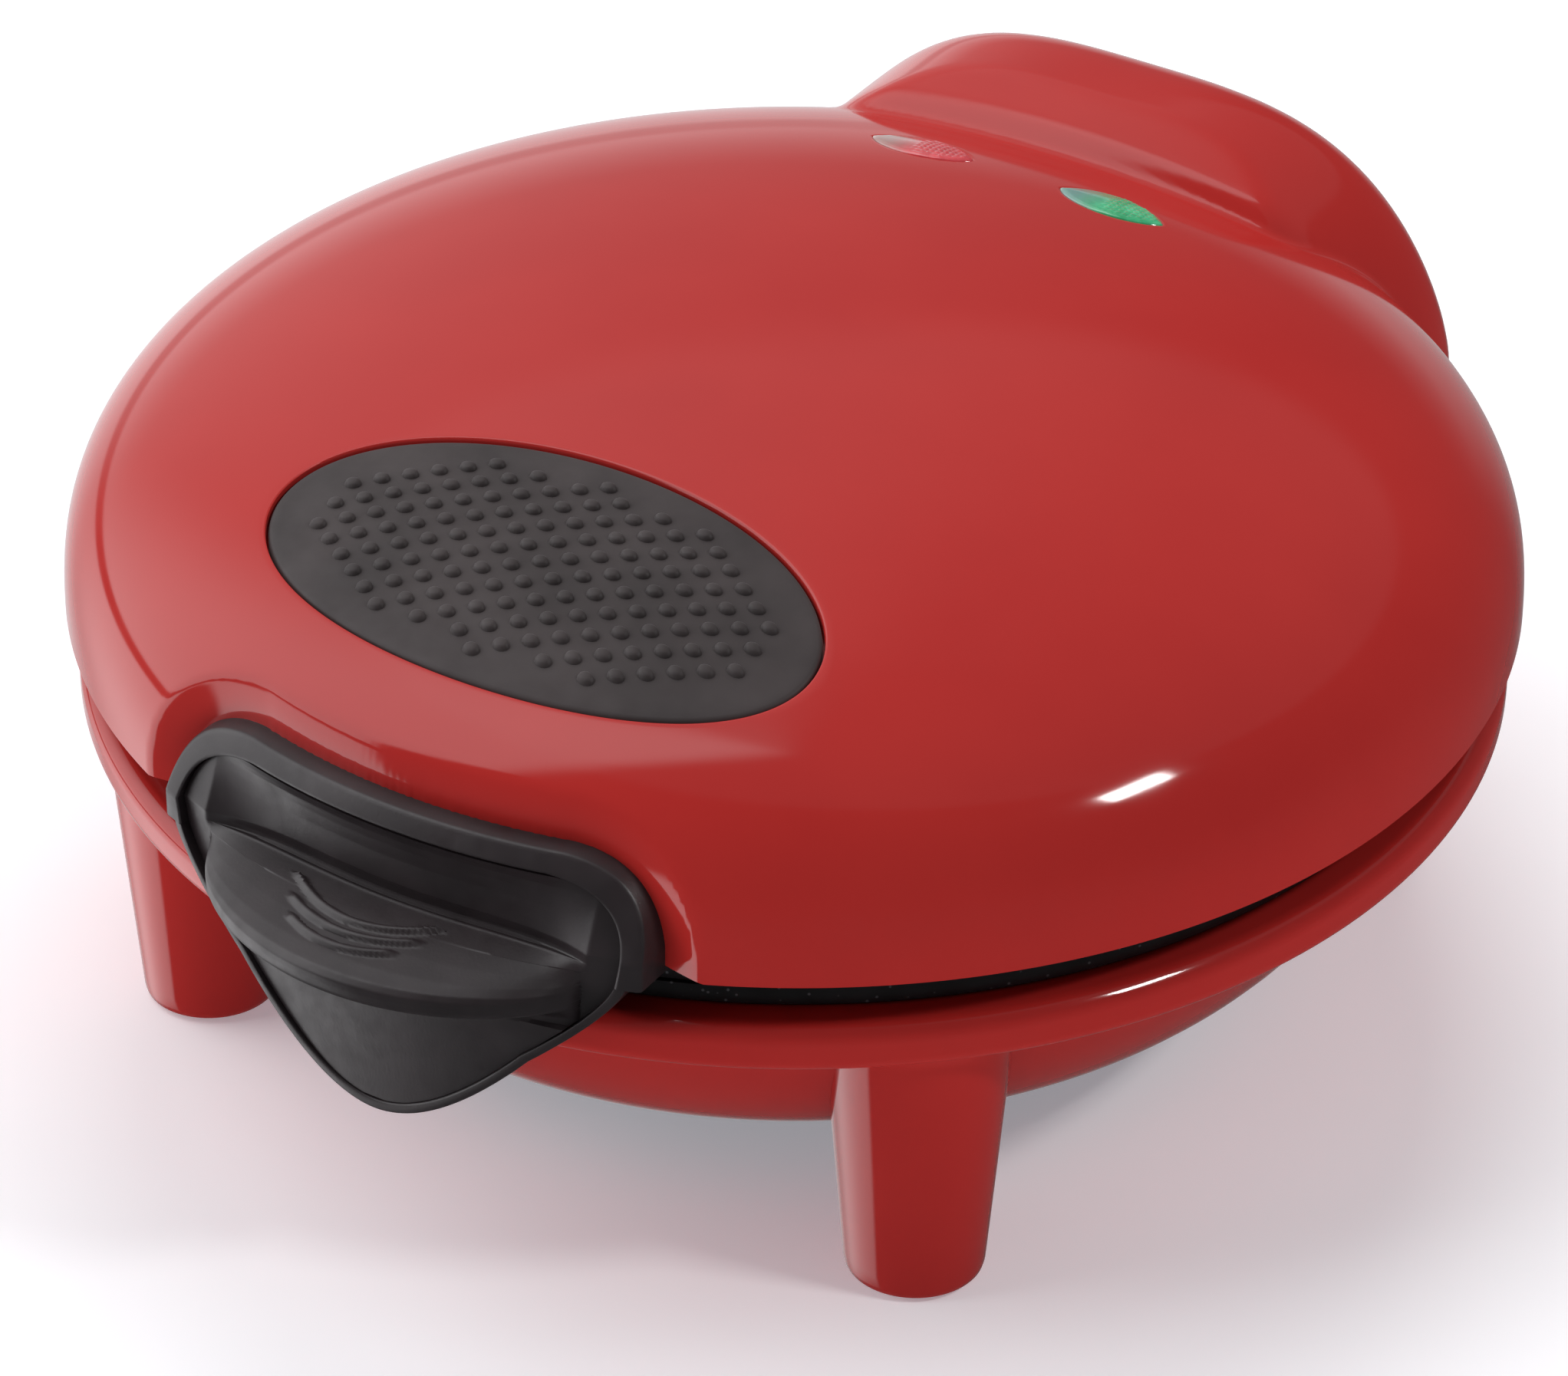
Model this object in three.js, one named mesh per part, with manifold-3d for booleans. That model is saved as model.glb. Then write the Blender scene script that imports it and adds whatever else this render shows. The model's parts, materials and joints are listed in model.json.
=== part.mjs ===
// Round clamshell donut maker: a domed lid on a rear hinge closes on a bowl-shaped base with four
// legs, and each half holds a heated plate with seven ring-shaped cups.
// Millimetres, +Z up, handle towards -Y, hinge towards +Y. Inside this file the origin is on the
// floor under the centre of the plates; the finished group is then centred front to back.
import * as THREE from "three";
import { mergeVertices } from "three/addons/utils/BufferGeometryUtils.js";
import Module from "manifold-3d";

const wasm = await Module();
wasm.setup();

// ---- driving dimensions ----
const gap = 0.3; // between pieces that touch
const wall = 2.5; // moulded housings
const far = 400; // reach of a cutter
const sliver = 0.02; // edges shorter than this are closed up

// plates and cups
const cupRingRadius = 17.5; // centre line of a cup
const cupWidth = 22;
const cupDepth = 9;
const cupPitch = 63; // centre cup to outer cup
const outerCups = 6;
const plateMargin = 9.5; // flat rim outside the cups
const plateThickness = 3;
const plateRadius = cupPitch + cupRingRadius + cupWidth / 2 + plateMargin;
const cupWall = 2.5;
const cupBossRadius = cupRingRadius + cupWidth / 2 + cupWall;
const plateDepth = cupDepth + plateThickness;
const partingHeight = 57; // the plates meet here

// lid
const lidRadius = plateRadius + 7;
const lidEdgeHeight = partingHeight + 5;
const lidRise = 41.5;
const lidPlanPower = 2.2;
const lidRisePower = 2.75;

// hump over the hinge
const humpHalfWidth = 53.5;
const humpOffset = lidRadius - 15.8;
const humpRise = lidRise - 6.4;
const humpPlanPower = 4.9;
const humpRisePower = 1.8;

// hinge, just behind the plates and just inside the hump's back
const knuckleRadius = 5.5;
const knuckleToPlate = 0.5;
const knuckleToHump = 1;
const hingeOffset = plateRadius + knuckleRadius + knuckleToPlate;
const hingeHeight = partingHeight + 1;
const humpHalfDepth = hingeOffset + knuckleRadius + knuckleToHump - humpOffset;
const knuckleHalfLength = 20;
const earLength = 9;
const pinRadius = 2;
const hingeRelief = 1.6; // room round the knuckle

// base
const rimRadius = lidRadius - 1.5;
const rimHeight = 7.5;
const rimTop = partingHeight - plateThickness - 0.5;
const rimRound = 2.2; // rounding of the rim's outer corners
const rimBehind = 3; // how far the rim's root reaches down the bowl
const plateSeat = 5; // width of the ledge under a plate's edge
const bossToBowl = 1; // room round the cups
const bowlBottomRadius = 72;
const bowlBottomHeight = 14.6;
const bowlTopInset = rimRadius - cupPitch - cupBossRadius - bossToBowl - wall;
const bowlShoulder = 8; // the bowl's curve bends this far inside its top
const bowlBelly = 5; // and this far above its bottom
const coverRadius = bowlBottomRadius - 3;
const coverThickness = 2;

// legs and foot pads
const legX = 62;
const legY = 65.5;
const legFootRadius = 10.2;
const legTopRadius = 13.9;
const padRadius = 7.2;
const padThickness = 2.4;
const padProud = 0.5;

// handle
const handleHalfWidth = 40;
const handleTopHalfWidth = 26;
const handleTop = lidEdgeHeight + 15.5;
const tongueDrop = 32; // below the lid's edge
const tongueHalfWidth = 38;
const handleFrontRadius = lidRadius + 2;
const handleLean = 6.5; // top of the handle leans back by this
const tongueThickness = 2.9;
const blockThickness = 7;
const frameWidth = 3;
const gripThickness = 1.5;
const lipReach = 11.5; // in front of the grip
const lipHalfWidth = 31;
const lipTop = lidEdgeHeight - 1;
const lipThickness = 5;
const faceSegments = 64; // round the handle's face
const pocketClearance = 1.2;

// oval touch pad on the lid
const ovalOffset = 66.5;
const ovalHalfLength = 44.5;
const ovalHalfWidth = 22;
const ovalThickness = 2.4;
const ovalSunk = 0.3;

// indicator lenses
const lensSpacing = 33.4;
const lensOffset = 63;
const lensLength = 18.4;
const lensWidth = 7;
const lensProud = 0.5;
const lensThickness = 2.6;

// heaters and reflectors
const elementRadius = 3.2;
const elementRing = 47;
const elementGapAngle = Math.PI / 7;
const elementPoints = 24; // along the ring
const reflectorRadius = 84;
const reflectorLip = 4;
const sheet = 0.9;

// screws
const screwRadius = 1.6;
const screwHeadRadius = 3.1;
const screwHead = 1.8;
const screwLength = 14;
const handleScrewBite = 5; // of the screw into the handle's block
const postRadius = 4.6;
const plateScrews = 3;
const screwCircle = plateRadius - 8.5;
const coverScrews = 4;
const coverScrewCircle = coverRadius - 6;
const coverScrewLength = 8;
const coverPostHeight = 8;
const holderScrewLength = 7;
const postFoot = 20; // plate screw posts start this high

// wiring pieces in the base
const thermostatRadius = 8;
const thermostatHeight = 7;
const fuseRadius = 2.2;
const fuseLength = 16;
const terminalSize = new THREE.Vector3(34, 14, 12);
const terminalRoom = 1.5; // between the thermostat and the terminal block
const thermostatOffset = elementRing / 2 + thermostatRadius;
const fuseOffset = elementRing / 2 + 8;
const glandRadius = 6.5;
const glandBore = 3.7;
const glandHeight = 33;
const glandFlange = 2;
const glandFlangeThickness = 3;
const glandDepth = 9;

// ---- solids ----
function solid(geometry) {
  const bare = geometry.index ? geometry.toNonIndexed() : geometry.clone();
  bare.deleteAttribute("normal");
  bare.deleteAttribute("uv");
  const merged = mergeVertices(bare, 1e-3);
  return new wasm.Manifold(
    new wasm.Mesh({
      numProp: 3,
      vertProperties: merged.attributes.position.array,
      triVerts: new Uint32Array(merged.index.array),
    }),
  );
}

function geometryOf(body) {
  const mesh = body.asOriginal().simplify(sliver).getMesh();
  return new THREE.BufferGeometry()
    .setAttribute("position", new THREE.BufferAttribute(mesh.vertProperties.slice(), 3))
    .setIndex(new THREE.BufferAttribute(mesh.triVerts.slice(), 1))
    .toNonIndexed();
}

// A closed [radius, height] outline turned about the Z axis.
function turned(outline, segments = 40) {
  const points = outline.map(([r, z]) => new THREE.Vector2(r, z));
  if (THREE.ShapeUtils.isClockWise(points)) points.reverse();
  const onAxis = points.filter((p) => p.x === 0).length > 1;
  while (onAxis && !(points[0].x === 0 && points.at(-1).x === 0)) points.push(points.shift());
  if (!onAxis) points.push(points[0].clone());
  const geometry = new THREE.LatheGeometry(points, segments);
  return solid(geometry.rotateX(Math.PI / 2));
}

function rod(radius, from, to, segments = 16) {
  return turned([[0, from], [radius, from], [radius, to], [0, to]], segments);
}

// A flat shape in X and Y pushed up from one height to another.
function raised(shape, from, to, curveSegments = 6) {
  const geometry = new THREE.ExtrudeGeometry(shape, {
    depth: to - from,
    bevelEnabled: false,
    curveSegments,
  });
  return solid(geometry.translate(0, 0, from));
}

// A shape drawn in X and Z pushed along Y.
function pushedBack(shape, fromY, toY, curveSegments = 6) {
  const geometry = new THREE.ExtrudeGeometry(shape, {
    depth: toY - fromY,
    bevelEnabled: false,
    curveSegments,
  });
  return solid(geometry.rotateX(Math.PI / 2).translate(0, toY, 0));
}

function block(width, depth, height, x, y, z) {
  return solid(new THREE.BoxGeometry(width, depth, height).translate(x, y, z + height / 2));
}

function lying(body, x, y, z) {
  return body.rotate([0, 90, 0]).translate([x, y, z]); // a Z rod laid along X
}

function around(count, radius, firstAngle) {
  return Array.from({ length: count }, (_, i) => {
    const angle = firstAngle + (i * 2 * Math.PI) / count;
    return [radius * Math.cos(angle), radius * Math.sin(angle)];
  });
}

function joined(bodies) {
  return bodies.reduce((a, b) => a.add(b));
}

// Superellipse quarter: radius and height run from the edge up to the crown. It starts below
// the edge, so that a cavity cut with it is open.
function domeOutline(inset, steps = 8) {
  const radius = lidRadius - inset;
  const rise = lidRise - inset;
  const outline = [[0, 0], [radius, 0], [radius, lidEdgeHeight]];
  for (let i = 1; i < steps; i++) {
    const t = (i / steps) * (Math.PI / 2);
    outline.push([
      radius * Math.cos(t) ** (2 / lidPlanPower),
      lidEdgeHeight + rise * Math.sin(t) ** (2 / lidRisePower),
    ]);
  }
  outline.push([0, lidEdgeHeight + rise]);
  return outline;
}

function lidHeightAt(radius, inset = 0) {
  const share = (radius / (lidRadius - inset)) ** lidPlanPower;
  return lidEdgeHeight + (lidRise - inset) * (1 - share) ** (1 / lidRisePower);
}

function dome(inset, segments = 40) {
  return turned(domeOutline(inset), segments);
}

// Rounded box whose section powers set how square its plan and its rise are.
function hump(inset) {
  const geometry = new THREE.SphereGeometry(1, 24, 12).rotateX(Math.PI / 2);
  const position = geometry.attributes.position;
  const swell = (n, power) => Math.sign(n) * Math.abs(n) ** (2 / power);
  for (let i = 0; i < position.count; i++) {
    position.setXYZ(
      i,
      (humpHalfWidth - inset) * swell(position.getX(i), humpPlanPower),
      humpOffset + (humpHalfDepth - inset) * swell(position.getY(i), humpPlanPower),
      lidEdgeHeight + (humpRise - inset) * swell(position.getZ(i), humpRisePower),
    );
  }
  return solid(geometry);
}

function aboveLidEdge(body) {
  return body.intersect(block(far, far, far, 0, 0, lidEdgeHeight));
}

// ---- outlines ----
// Shield seen from the front: wide block above the lid's edge, tapering tongue below it.
function handleShape(inset, stepped) {
  const bottom = lidEdgeHeight - tongueDrop + inset;
  const top = handleTop - inset;
  const wide = handleHalfWidth - inset;
  const waist = tongueHalfWidth - inset;
  const topHalf = handleTopHalfWidth - inset / 2;
  const side = lidEdgeHeight + 3;
  const lowHalf = 0.64 * waist;
  const lowHeight = bottom + 0.5 * tongueDrop;
  const shape = new THREE.Shape();
  shape.moveTo(0, bottom);
  shape.quadraticCurveTo(0.26 * waist, bottom, lowHalf, lowHeight);
  shape.quadraticCurveTo(waist - 2, lidEdgeHeight - 6, waist, lidEdgeHeight - 1);
  if (stepped) shape.lineTo(wide, lidEdgeHeight - 1);
  shape.lineTo(wide, side);
  shape.quadraticCurveTo(wide - 1, top - 1, topHalf, top);
  shape.lineTo(-topHalf, top);
  shape.quadraticCurveTo(1 - wide, top - 1, -wide, side);
  if (stepped) shape.lineTo(-wide, lidEdgeHeight - 1);
  shape.lineTo(-waist, lidEdgeHeight - 1);
  shape.quadraticCurveTo(2 - waist, lidEdgeHeight - 6, -lowHalf, lowHeight);
  shape.quadraticCurveTo(-0.26 * waist, bottom, 0, bottom);
  return shape;
}

function ellipseShape(halfLength, halfWidth, x, y) {
  const shape = new THREE.Shape();
  shape.absellipse(x, y, halfLength, halfWidth, 0, 2 * Math.PI);
  return shape;
}

// Two arcs that meet in a point at each end.
function almondShape(length, width, x, y) {
  const half = length / 2;
  const shape = new THREE.Shape();
  shape.moveTo(x - half, y);
  shape.quadraticCurveTo(x, y - width, x + half, y);
  shape.quadraticCurveTo(x, y + width, x - half, y);
  return shape;
}

// ---- handle ----
const handleKnee = lidEdgeHeight + 3; // the face leans back above this
const handleShelf = lidEdgeHeight - 1; // the block's underside
const handleLow = lidEdgeHeight - tongueDrop - 1;
const handleHigh = handleTop + 1;

// Radius of the handle's front face at a height.
function handleFaceAt(height) {
  const share = Math.max(0, (height - handleKnee) / (handleTop - handleKnee));
  return handleFrontRadius - handleLean * share;
}

// What lies within a depth of the handle's front face, which is round in plan.
function behindFace(depth, from, to) {
  const outline = [[0, from], [handleFaceAt(from) - depth, from]];
  if (from < handleKnee) outline.push([handleFrontRadius - depth, handleKnee]);
  outline.push([handleFaceAt(to) - depth, to], [0, to]);
  return turned(outline, faceSegments);
}

function inFront(shape) {
  return pushedBack(shape, -far, 0);
}

function handleSurround() {
  const crown = handleFaceAt(handleHigh);
  const blockBack = handleFrontRadius - blockThickness;
  const tongueBack = handleFrontRadius - tongueThickness;
  const band = turned([
    [handleFrontRadius, handleLow],
    [handleFrontRadius, handleKnee],
    [crown, handleHigh],
    [crown - blockThickness, handleHigh],
    [blockBack, handleKnee],
    [blockBack, handleShelf - gap],
    [tongueBack, handleShelf - gap],
    [tongueBack, handleLow],
  ], faceSegments);
  const body = inFront(handleShape(0, true)).intersect(band);
  const seat = inFront(handleShape(frameWidth, false))
    .subtract(behindFace(gripThickness + gap, handleLow - 1, handleHigh + 1));
  const holes = handleScrewPlaces().map((place) => handleScrew(place, gap));
  return body.subtract(seat).subtract(joined(holes));
}

function handleGrip() {
  const outline = inFront(handleShape(frameWidth + gap, false));
  const panel = behindFace(0, handleLow, handleHigh)
    .subtract(behindFace(gripThickness, handleLow - 1, handleHigh + 1));
  const lip = raised(lipShape(), lipTop - lipThickness, lipTop, 8);
  return panel.add(lip).intersect(outline);
}

// Crescent shelf: round in front, and following the grip's face behind.
function lipShape() {
  const root = handleFrontRadius - gripThickness / 2;
  const half = Math.asin(lipHalfWidth / root);
  const side = root * Math.cos(half);
  const front = handleFrontRadius + lipReach;
  const shape = new THREE.Shape();
  shape.moveTo(-lipHalfWidth, -side);
  const bulge = side + lipReach;
  shape.bezierCurveTo(1 - lipHalfWidth, -bulge, -lipHalfWidth / 2, -front, 0, -front);
  shape.bezierCurveTo(lipHalfWidth / 2, -front, lipHalfWidth - 1, -bulge, lipHalfWidth, -side);
  shape.absarc(0, 0, root, half - Math.PI / 2, -half - Math.PI / 2, true);
  return shape;
}

// Room in the lid for the handle's block, grown by a margin all round.
function handlePocket(margin) {
  const grown = pocketClearance + margin;
  const high = handleTop + grown + 1;
  return inFront(handleShape(-grown, true))
    .subtract(behindFace(blockThickness + grown, 0, high));
}

function handleScrewPlaces() {
  return [-1, 1].map((side) => [side * (handleTopHalfWidth - 8), lidEdgeHeight + 8]);
}

// A screw from inside the lid, through the pocket's wall, into the back of the block.
function handleScrew([x, z], margin = 0) {
  const seat = handleFaceAt(z) - blockThickness - pocketClearance - wall - gap;
  const y = -Math.sqrt(seat ** 2 - x ** 2);
  const length = wall + pocketClearance + gap + handleScrewBite;
  return screw(margin, length).rotate([90, 0, 0]).translate([x, y + screwHeadRadius / 4, z]);
}

// ---- screws ----
// Pan-head screw with its head below and its shank up; a margin makes it the hole.
function screw(margin = 0, length = screwLength) {
  const head = screwHeadRadius + margin;
  const shank = screwRadius + margin;
  return turned(
    [[0, -screwHead - margin], [head, -screwHead - margin], [head, 0], [shank, 0],
      [shank, length + margin], [0, length + margin]],
    12,
  );
}

function plateScrewPlaces() {
  return around(plateScrews, screwCircle, -Math.PI / 2);
}

function coverScrewPlaces() {
  return around(coverScrews, coverScrewCircle, 0);
}

// ---- plates, elements and reflectors, drawn for the lower half ----
const lowerFace = partingHeight - gap / 2;
const cupBack = lowerFace - plateDepth;
const elementHeight = cupBack - gap - elementRadius;
const reflectorTop = elementHeight - elementRadius - gap;

function cupPlaces() {
  return [[0, 0], ...around(outerCups, cupPitch, 0)];
}

// Half a doughnut, open at the plate's face.
function cup(steps = 5) {
  const outline = [[cupRingRadius + cupWidth / 2, lowerFace + 1]];
  for (let i = 0; i <= steps; i++) {
    const t = (i / steps) * Math.PI;
    outline.push([
      cupRingRadius + (cupWidth / 2) * Math.cos(t),
      lowerFace - cupDepth * Math.sin(t),
    ]);
  }
  outline.push([cupRingRadius - cupWidth / 2, lowerFace + 1]);
  return turned(outline, 20);
}

function plateScrew(margin = 0) {
  return screw(margin).rotate([180, 0, 0]).translate([0, 0, lowerFace - screwHead - gap]);
}

function reflectorScrew(margin = 0) {
  return screw(margin).translate([0, 0, reflectorTop - sheet - gap]);
}

function plate() {
  const boss = rod(cupBossRadius, cupBack, lowerFace - 1);
  const bosses = cupPlaces().map(([x, y]) => boss.translate([x, y, 0]));
  const cups = cupPlaces().map(([x, y]) => cup().translate([x, y, 0]));
  const screwHole = plateScrew(gap).add(rod(screwHeadRadius + gap, lowerFace - 1, lowerFace + 1, 12));
  const screws = plateScrewPlaces().map(([x, y]) => screwHole.translate([x, y, 0]));
  return rod(plateRadius, lowerFace - plateThickness, lowerFace, 40)
    .add(joined(bosses))
    .subtract(joined(cups))
    .subtract(joined(screws))
    .subtract(reflectorScrew(gap));
}

function element() {
  const points = [];
  const turn = 2 * Math.PI - 2 * elementGapAngle;
  for (let i = 0; i <= elementPoints; i++) {
    const angle = Math.PI / 2 + elementGapAngle + (turn * i) / elementPoints;
    const [x, y] = [elementRing * Math.cos(angle), elementRing * Math.sin(angle)];
    points.push(new THREE.Vector3(x, y, elementHeight));
  }
  const section = ellipseShape(elementRadius, elementRadius, 0, 0);
  const geometry = new THREE.ExtrudeGeometry(section, {
    extrudePath: new THREE.CatmullRomCurve3(points),
    steps: elementPoints + 4,
    curveSegments: 4,
    bevelEnabled: false,
  });
  return solid(geometry);
}

function reflector() {
  const low = reflectorTop - sheet;
  const inner = reflectorRadius - sheet;
  const tray = turned([
    [0, low],
    [reflectorRadius, low],
    [reflectorRadius, low + reflectorLip],
    [inner, low + reflectorLip],
    [inner, reflectorTop],
    [0, reflectorTop],
  ], 36);
  return tray.subtract(reflectorScrew(gap));
}

// The upper half's parts are the lower half's, turned over the parting plane.
function upper(body) {
  return body.mirror([0, 0, 1]).translate([0, 0, 2 * partingHeight]);
}

// ---- lid ----
function ovalColumn(margin) {
  return raised(ellipseShape(ovalHalfLength + margin, ovalHalfWidth + margin, 0, -ovalOffset),
    lidEdgeHeight, far, 10);
}

function touchPad() {
  return ovalColumn(-gap).intersect(dome(ovalSunk)).subtract(dome(ovalSunk + ovalThickness));
}

function lensColumn(side, margin) {
  const [length, width] = [lensLength + 4 * margin, lensWidth + 2 * margin];
  const shape = almondShape(length, width, side * lensSpacing / 2, lensOffset);
  return raised(shape, lidEdgeHeight, far, 6);
}

function lens(side) {
  return lensColumn(side, -gap).intersect(dome(-lensProud)).subtract(dome(lensThickness - lensProud));
}

const lensReach = Math.hypot(lensOffset, lensSpacing / 2 + lensLength / 2);
const holderDrop = 9.5; // holder below the lid's outside, at the lenses' far ends
const holderTop = lidHeightAt(lensReach) - holderDrop;
const holderThickness = 3;
const holderDepth = 12;
const lampRadius = 2.4;
const lampLength = 11;

function lampHolder() {
  const bar = block(lensSpacing + lensLength, holderDepth, holderThickness,
    0, lensOffset, holderTop - holderThickness);
  return bar.subtract(holderScrew(gap));
}

function holderScrew(margin = 0) {
  return screw(margin, holderScrewLength).translate([0, lensOffset, holderTop - holderThickness - gap]);
}

function lamp(side) {
  return lying(rod(lampRadius, -lampLength / 2, lampLength / 2, 12),
    side * lensSpacing / 2, lensOffset, holderTop + gap + lampRadius);
}

function hingeRod(radius, halfLength, segments = 20) {
  return lying(rod(radius, -halfLength, halfLength, segments), 0, hingeOffset, hingeHeight);
}

function hingeEar(side) {
  const x = side * (knuckleHalfLength + gap + earLength / 2);
  const round = lying(rod(knuckleRadius, -earLength / 2, earLength / 2), x, hingeOffset, hingeHeight);
  const web = block(earLength, 2 * knuckleRadius, lidRise / 2, x, hingeOffset, hingeHeight);
  return round.add(web);
}

function lidShell() {
  const skin = dome(0).add(hump(0));
  const ribs = [
    handlePocket(wall),
    ovalColumn(wall).subtract(dome(ovalSunk + ovalThickness + gap + wall)),
    rod(postRadius, holderTop + gap, far).translate([0, lensOffset, 0]),
    ...plateScrewPlaces().map(([x, y]) => rod(postRadius, 0, far).translate([x, y, 0])),
    hingeEar(-1),
    hingeEar(1),
  ];
  const cavity = dome(wall).add(hump(wall)).subtract(joined(ribs));
  const relief = hingeRod(knuckleRadius + hingeRelief, knuckleHalfLength + gap);
  const shell = aboveLidEdge(skin.subtract(cavity).subtract(relief))
    .add(hingeEar(-1).intersect(skin.add(block(far, far, lidEdgeHeight, 0, 0, 0))))
    .add(hingeEar(1).intersect(skin.add(block(far, far, lidEdgeHeight, 0, 0, 0))));
  const cuts = [
    handlePocket(0),
    ovalColumn(0).subtract(dome(ovalSunk + ovalThickness + gap)),
    lensColumn(-1, 0),
    lensColumn(1, 0),
    holderScrew(gap),
    hingeRod(pinRadius + gap, far, 12),
    ...handleScrewPlaces().map((place) => handleScrew(place, gap)),
    ...plateScrewPlaces().map(([x, y]) => upper(plateScrew(gap)).translate([x, y, 0])),
  ];
  return shell.subtract(joined(cuts));
}

// ---- base ----
const bowlTop = rimTop - rimHeight;

function bowlCurve(inset, steps = 5) {
  const curve = new THREE.QuadraticBezierCurve(
    new THREE.Vector2(bowlBottomRadius, bowlBottomHeight + inset),
    new THREE.Vector2(rimRadius - bowlTopInset - bowlShoulder, bowlBottomHeight + bowlBelly + inset / 2),
    new THREE.Vector2(rimRadius - bowlTopInset - inset, bowlTop),
  );
  return curve.getPoints(steps).map((p) => [p.x, p.y]);
}

function bowl(inset) {
  return turned([[0, bowlBottomHeight + inset], ...bowlCurve(inset), [0, bowlTop]]);
}

// Rounded flange that the lower plate rests on.
function rim() {
  const seat = plateRadius - plateSeat;
  const outer = rimRadius - bowlTopInset;
  const corner = 0.3 * rimRound;
  return turned([
    [outer - wall, bowlTop - rimBehind],
    [outer - gap, bowlTop - rimBehind],
    [outer, bowlTop - gap],
    [rimRadius - rimRound, bowlTop],
    [rimRadius - corner, bowlTop + rimRound - corner],
    [rimRadius, bowlTop + 0.5 * rimHeight],
    [rimRadius - corner, rimTop - rimRound + corner],
    [rimRadius - rimRound, rimTop],
    [seat, rimTop],
    [seat, rimTop - wall],
    [outer - wall, rimTop - wall],
  ]);
}

function legs(hollow) {
  const inset = hollow ? wall + gap : 0;
  const top = bowlTop + 1 - 2 * inset;
  const foot = hollow ? padRadius + gap : legFootRadius;
  const low = hollow ? -1 : padProud;
  const one = turned([[0, low], [foot, low], [legTopRadius - inset, top], [0, top]], 18);
  return joined(legPlaces().map(([x, y]) => one.translate([x, y, 0])));
}

function legPlaces() {
  return [[-legX, -legY], [legX, -legY], [legX, legY], [-legX, legY]];
}

function hingeKnuckle() {
  const depth = knuckleRadius - gap;
  const neck = block(2 * knuckleHalfLength, depth, hingeHeight - bowlTop,
    0, hingeOffset - depth / 2, bowlTop);
  return hingeRod(knuckleRadius, knuckleHalfLength).add(neck);
}

function coverPost(x, y) {
  const angle = Math.atan2(y, x);
  const reach = 2 * (bowlBottomRadius - coverScrewCircle);
  const rib = block(reach + 2 * postRadius, 2 * postRadius, coverPostHeight,
    coverScrewCircle + reach / 2, 0, bowlBottomHeight + coverThickness + gap);
  return rib.rotate([0, 0, THREE.MathUtils.radToDeg(angle)]);
}

function coverScrew(margin = 0) {
  return screw(margin, coverScrewLength).translate([0, 0, bowlBottomHeight - gap]);
}

function cordHole() {
  return rod(glandRadius + gap, 0, far).rotate([-90, 0, 0]).translate([0, 0, glandHeight]);
}

function baseShell() {
  const outside = bowl(0);
  const inside = bowl(wall);
  const posts = [
    ...plateScrewPlaces().map(([x, y]) => rod(postRadius, postFoot, rimTop).translate([x, y, 0])),
    ...coverScrewPlaces().map(([x, y]) => coverPost(x, y)),
  ];
  const inner = joined(posts).intersect(outside.add(rod(plateRadius, bowlTop - 1, rimTop)));
  const relief = hingeRod(knuckleRadius + hingeRelief, knuckleHalfLength + earLength + 3 * gap);
  const shell = outside
    .add(legs(false))
    .subtract(inside.add(rod(plateRadius - plateSeat, bowlTop - wall, far)))
    .add(rim())
    .subtract(legs(true).subtract(outside))
    .subtract(rod(coverRadius + gap, 0, bowlBottomHeight + 2 * wall, 40))
    .subtract(relief)
    .add(inner)
    .add(hingeKnuckle());
  const cuts = [
    cordHole(),
    hingeRod(pinRadius + gap, far, 12),
    ...plateScrewPlaces().map(([x, y]) => plateScrew(gap).translate([x, y, 0])),
    ...coverScrewPlaces().map(([x, y]) => coverScrew(gap).translate([x, y, 0])),
  ];
  return shell.subtract(joined(cuts));
}

function baseCover() {
  const screws = coverScrewPlaces().map(([x, y]) => coverScrew(gap).translate([x, y, 0]));
  return rod(coverRadius, bowlBottomHeight, bowlBottomHeight + coverThickness, 40)
    .subtract(joined(screws));
}

function footPad() {
  return rod(padRadius, 0, padThickness);
}

function hingePin() {
  return hingeRod(pinRadius, knuckleHalfLength + earLength, 12);
}

function thermostat() {
  const top = reflectorTop - sheet - gap;
  return rod(thermostatRadius, top - thermostatHeight, top).translate([0, thermostatOffset, 0]);
}

function thermalFuse() {
  const z = reflectorTop - sheet - gap - fuseRadius;
  return lying(rod(fuseRadius, -fuseLength / 2, fuseLength / 2, 12), -fuseOffset, 0, z);
}

function terminalBlock() {
  const low = bowlBottomHeight + coverThickness + gap;
  const y = thermostatOffset + thermostatRadius + terminalRoom + terminalSize.y / 2;
  return block(terminalSize.x, terminalSize.y, terminalSize.z, 0, y, low);
}

// Grommet with a flange outside the wall; the supply lead would pass through its bore.
function cableGland() {
  const wallPlace = rimRadius - bowlTopInset;
  const inside = wallPlace - wall - glandDepth;
  const tube = turned([
    [glandBore, inside],
    [glandRadius, inside],
    [glandRadius, wallPlace],
    [glandRadius + glandFlange, wallPlace],
    [glandRadius + glandFlange, wallPlace + glandFlangeThickness],
    [glandBore, wallPlace + glandFlangeThickness],
  ], 20);
  return tube.rotate([-90, 0, 0]).translate([0, 0, glandHeight]);
}

// ---- materials and assembly ----
function finish(color, roughness, metalness = 0) {
  return new THREE.MeshStandardMaterial({ color, roughness, metalness });
}

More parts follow.
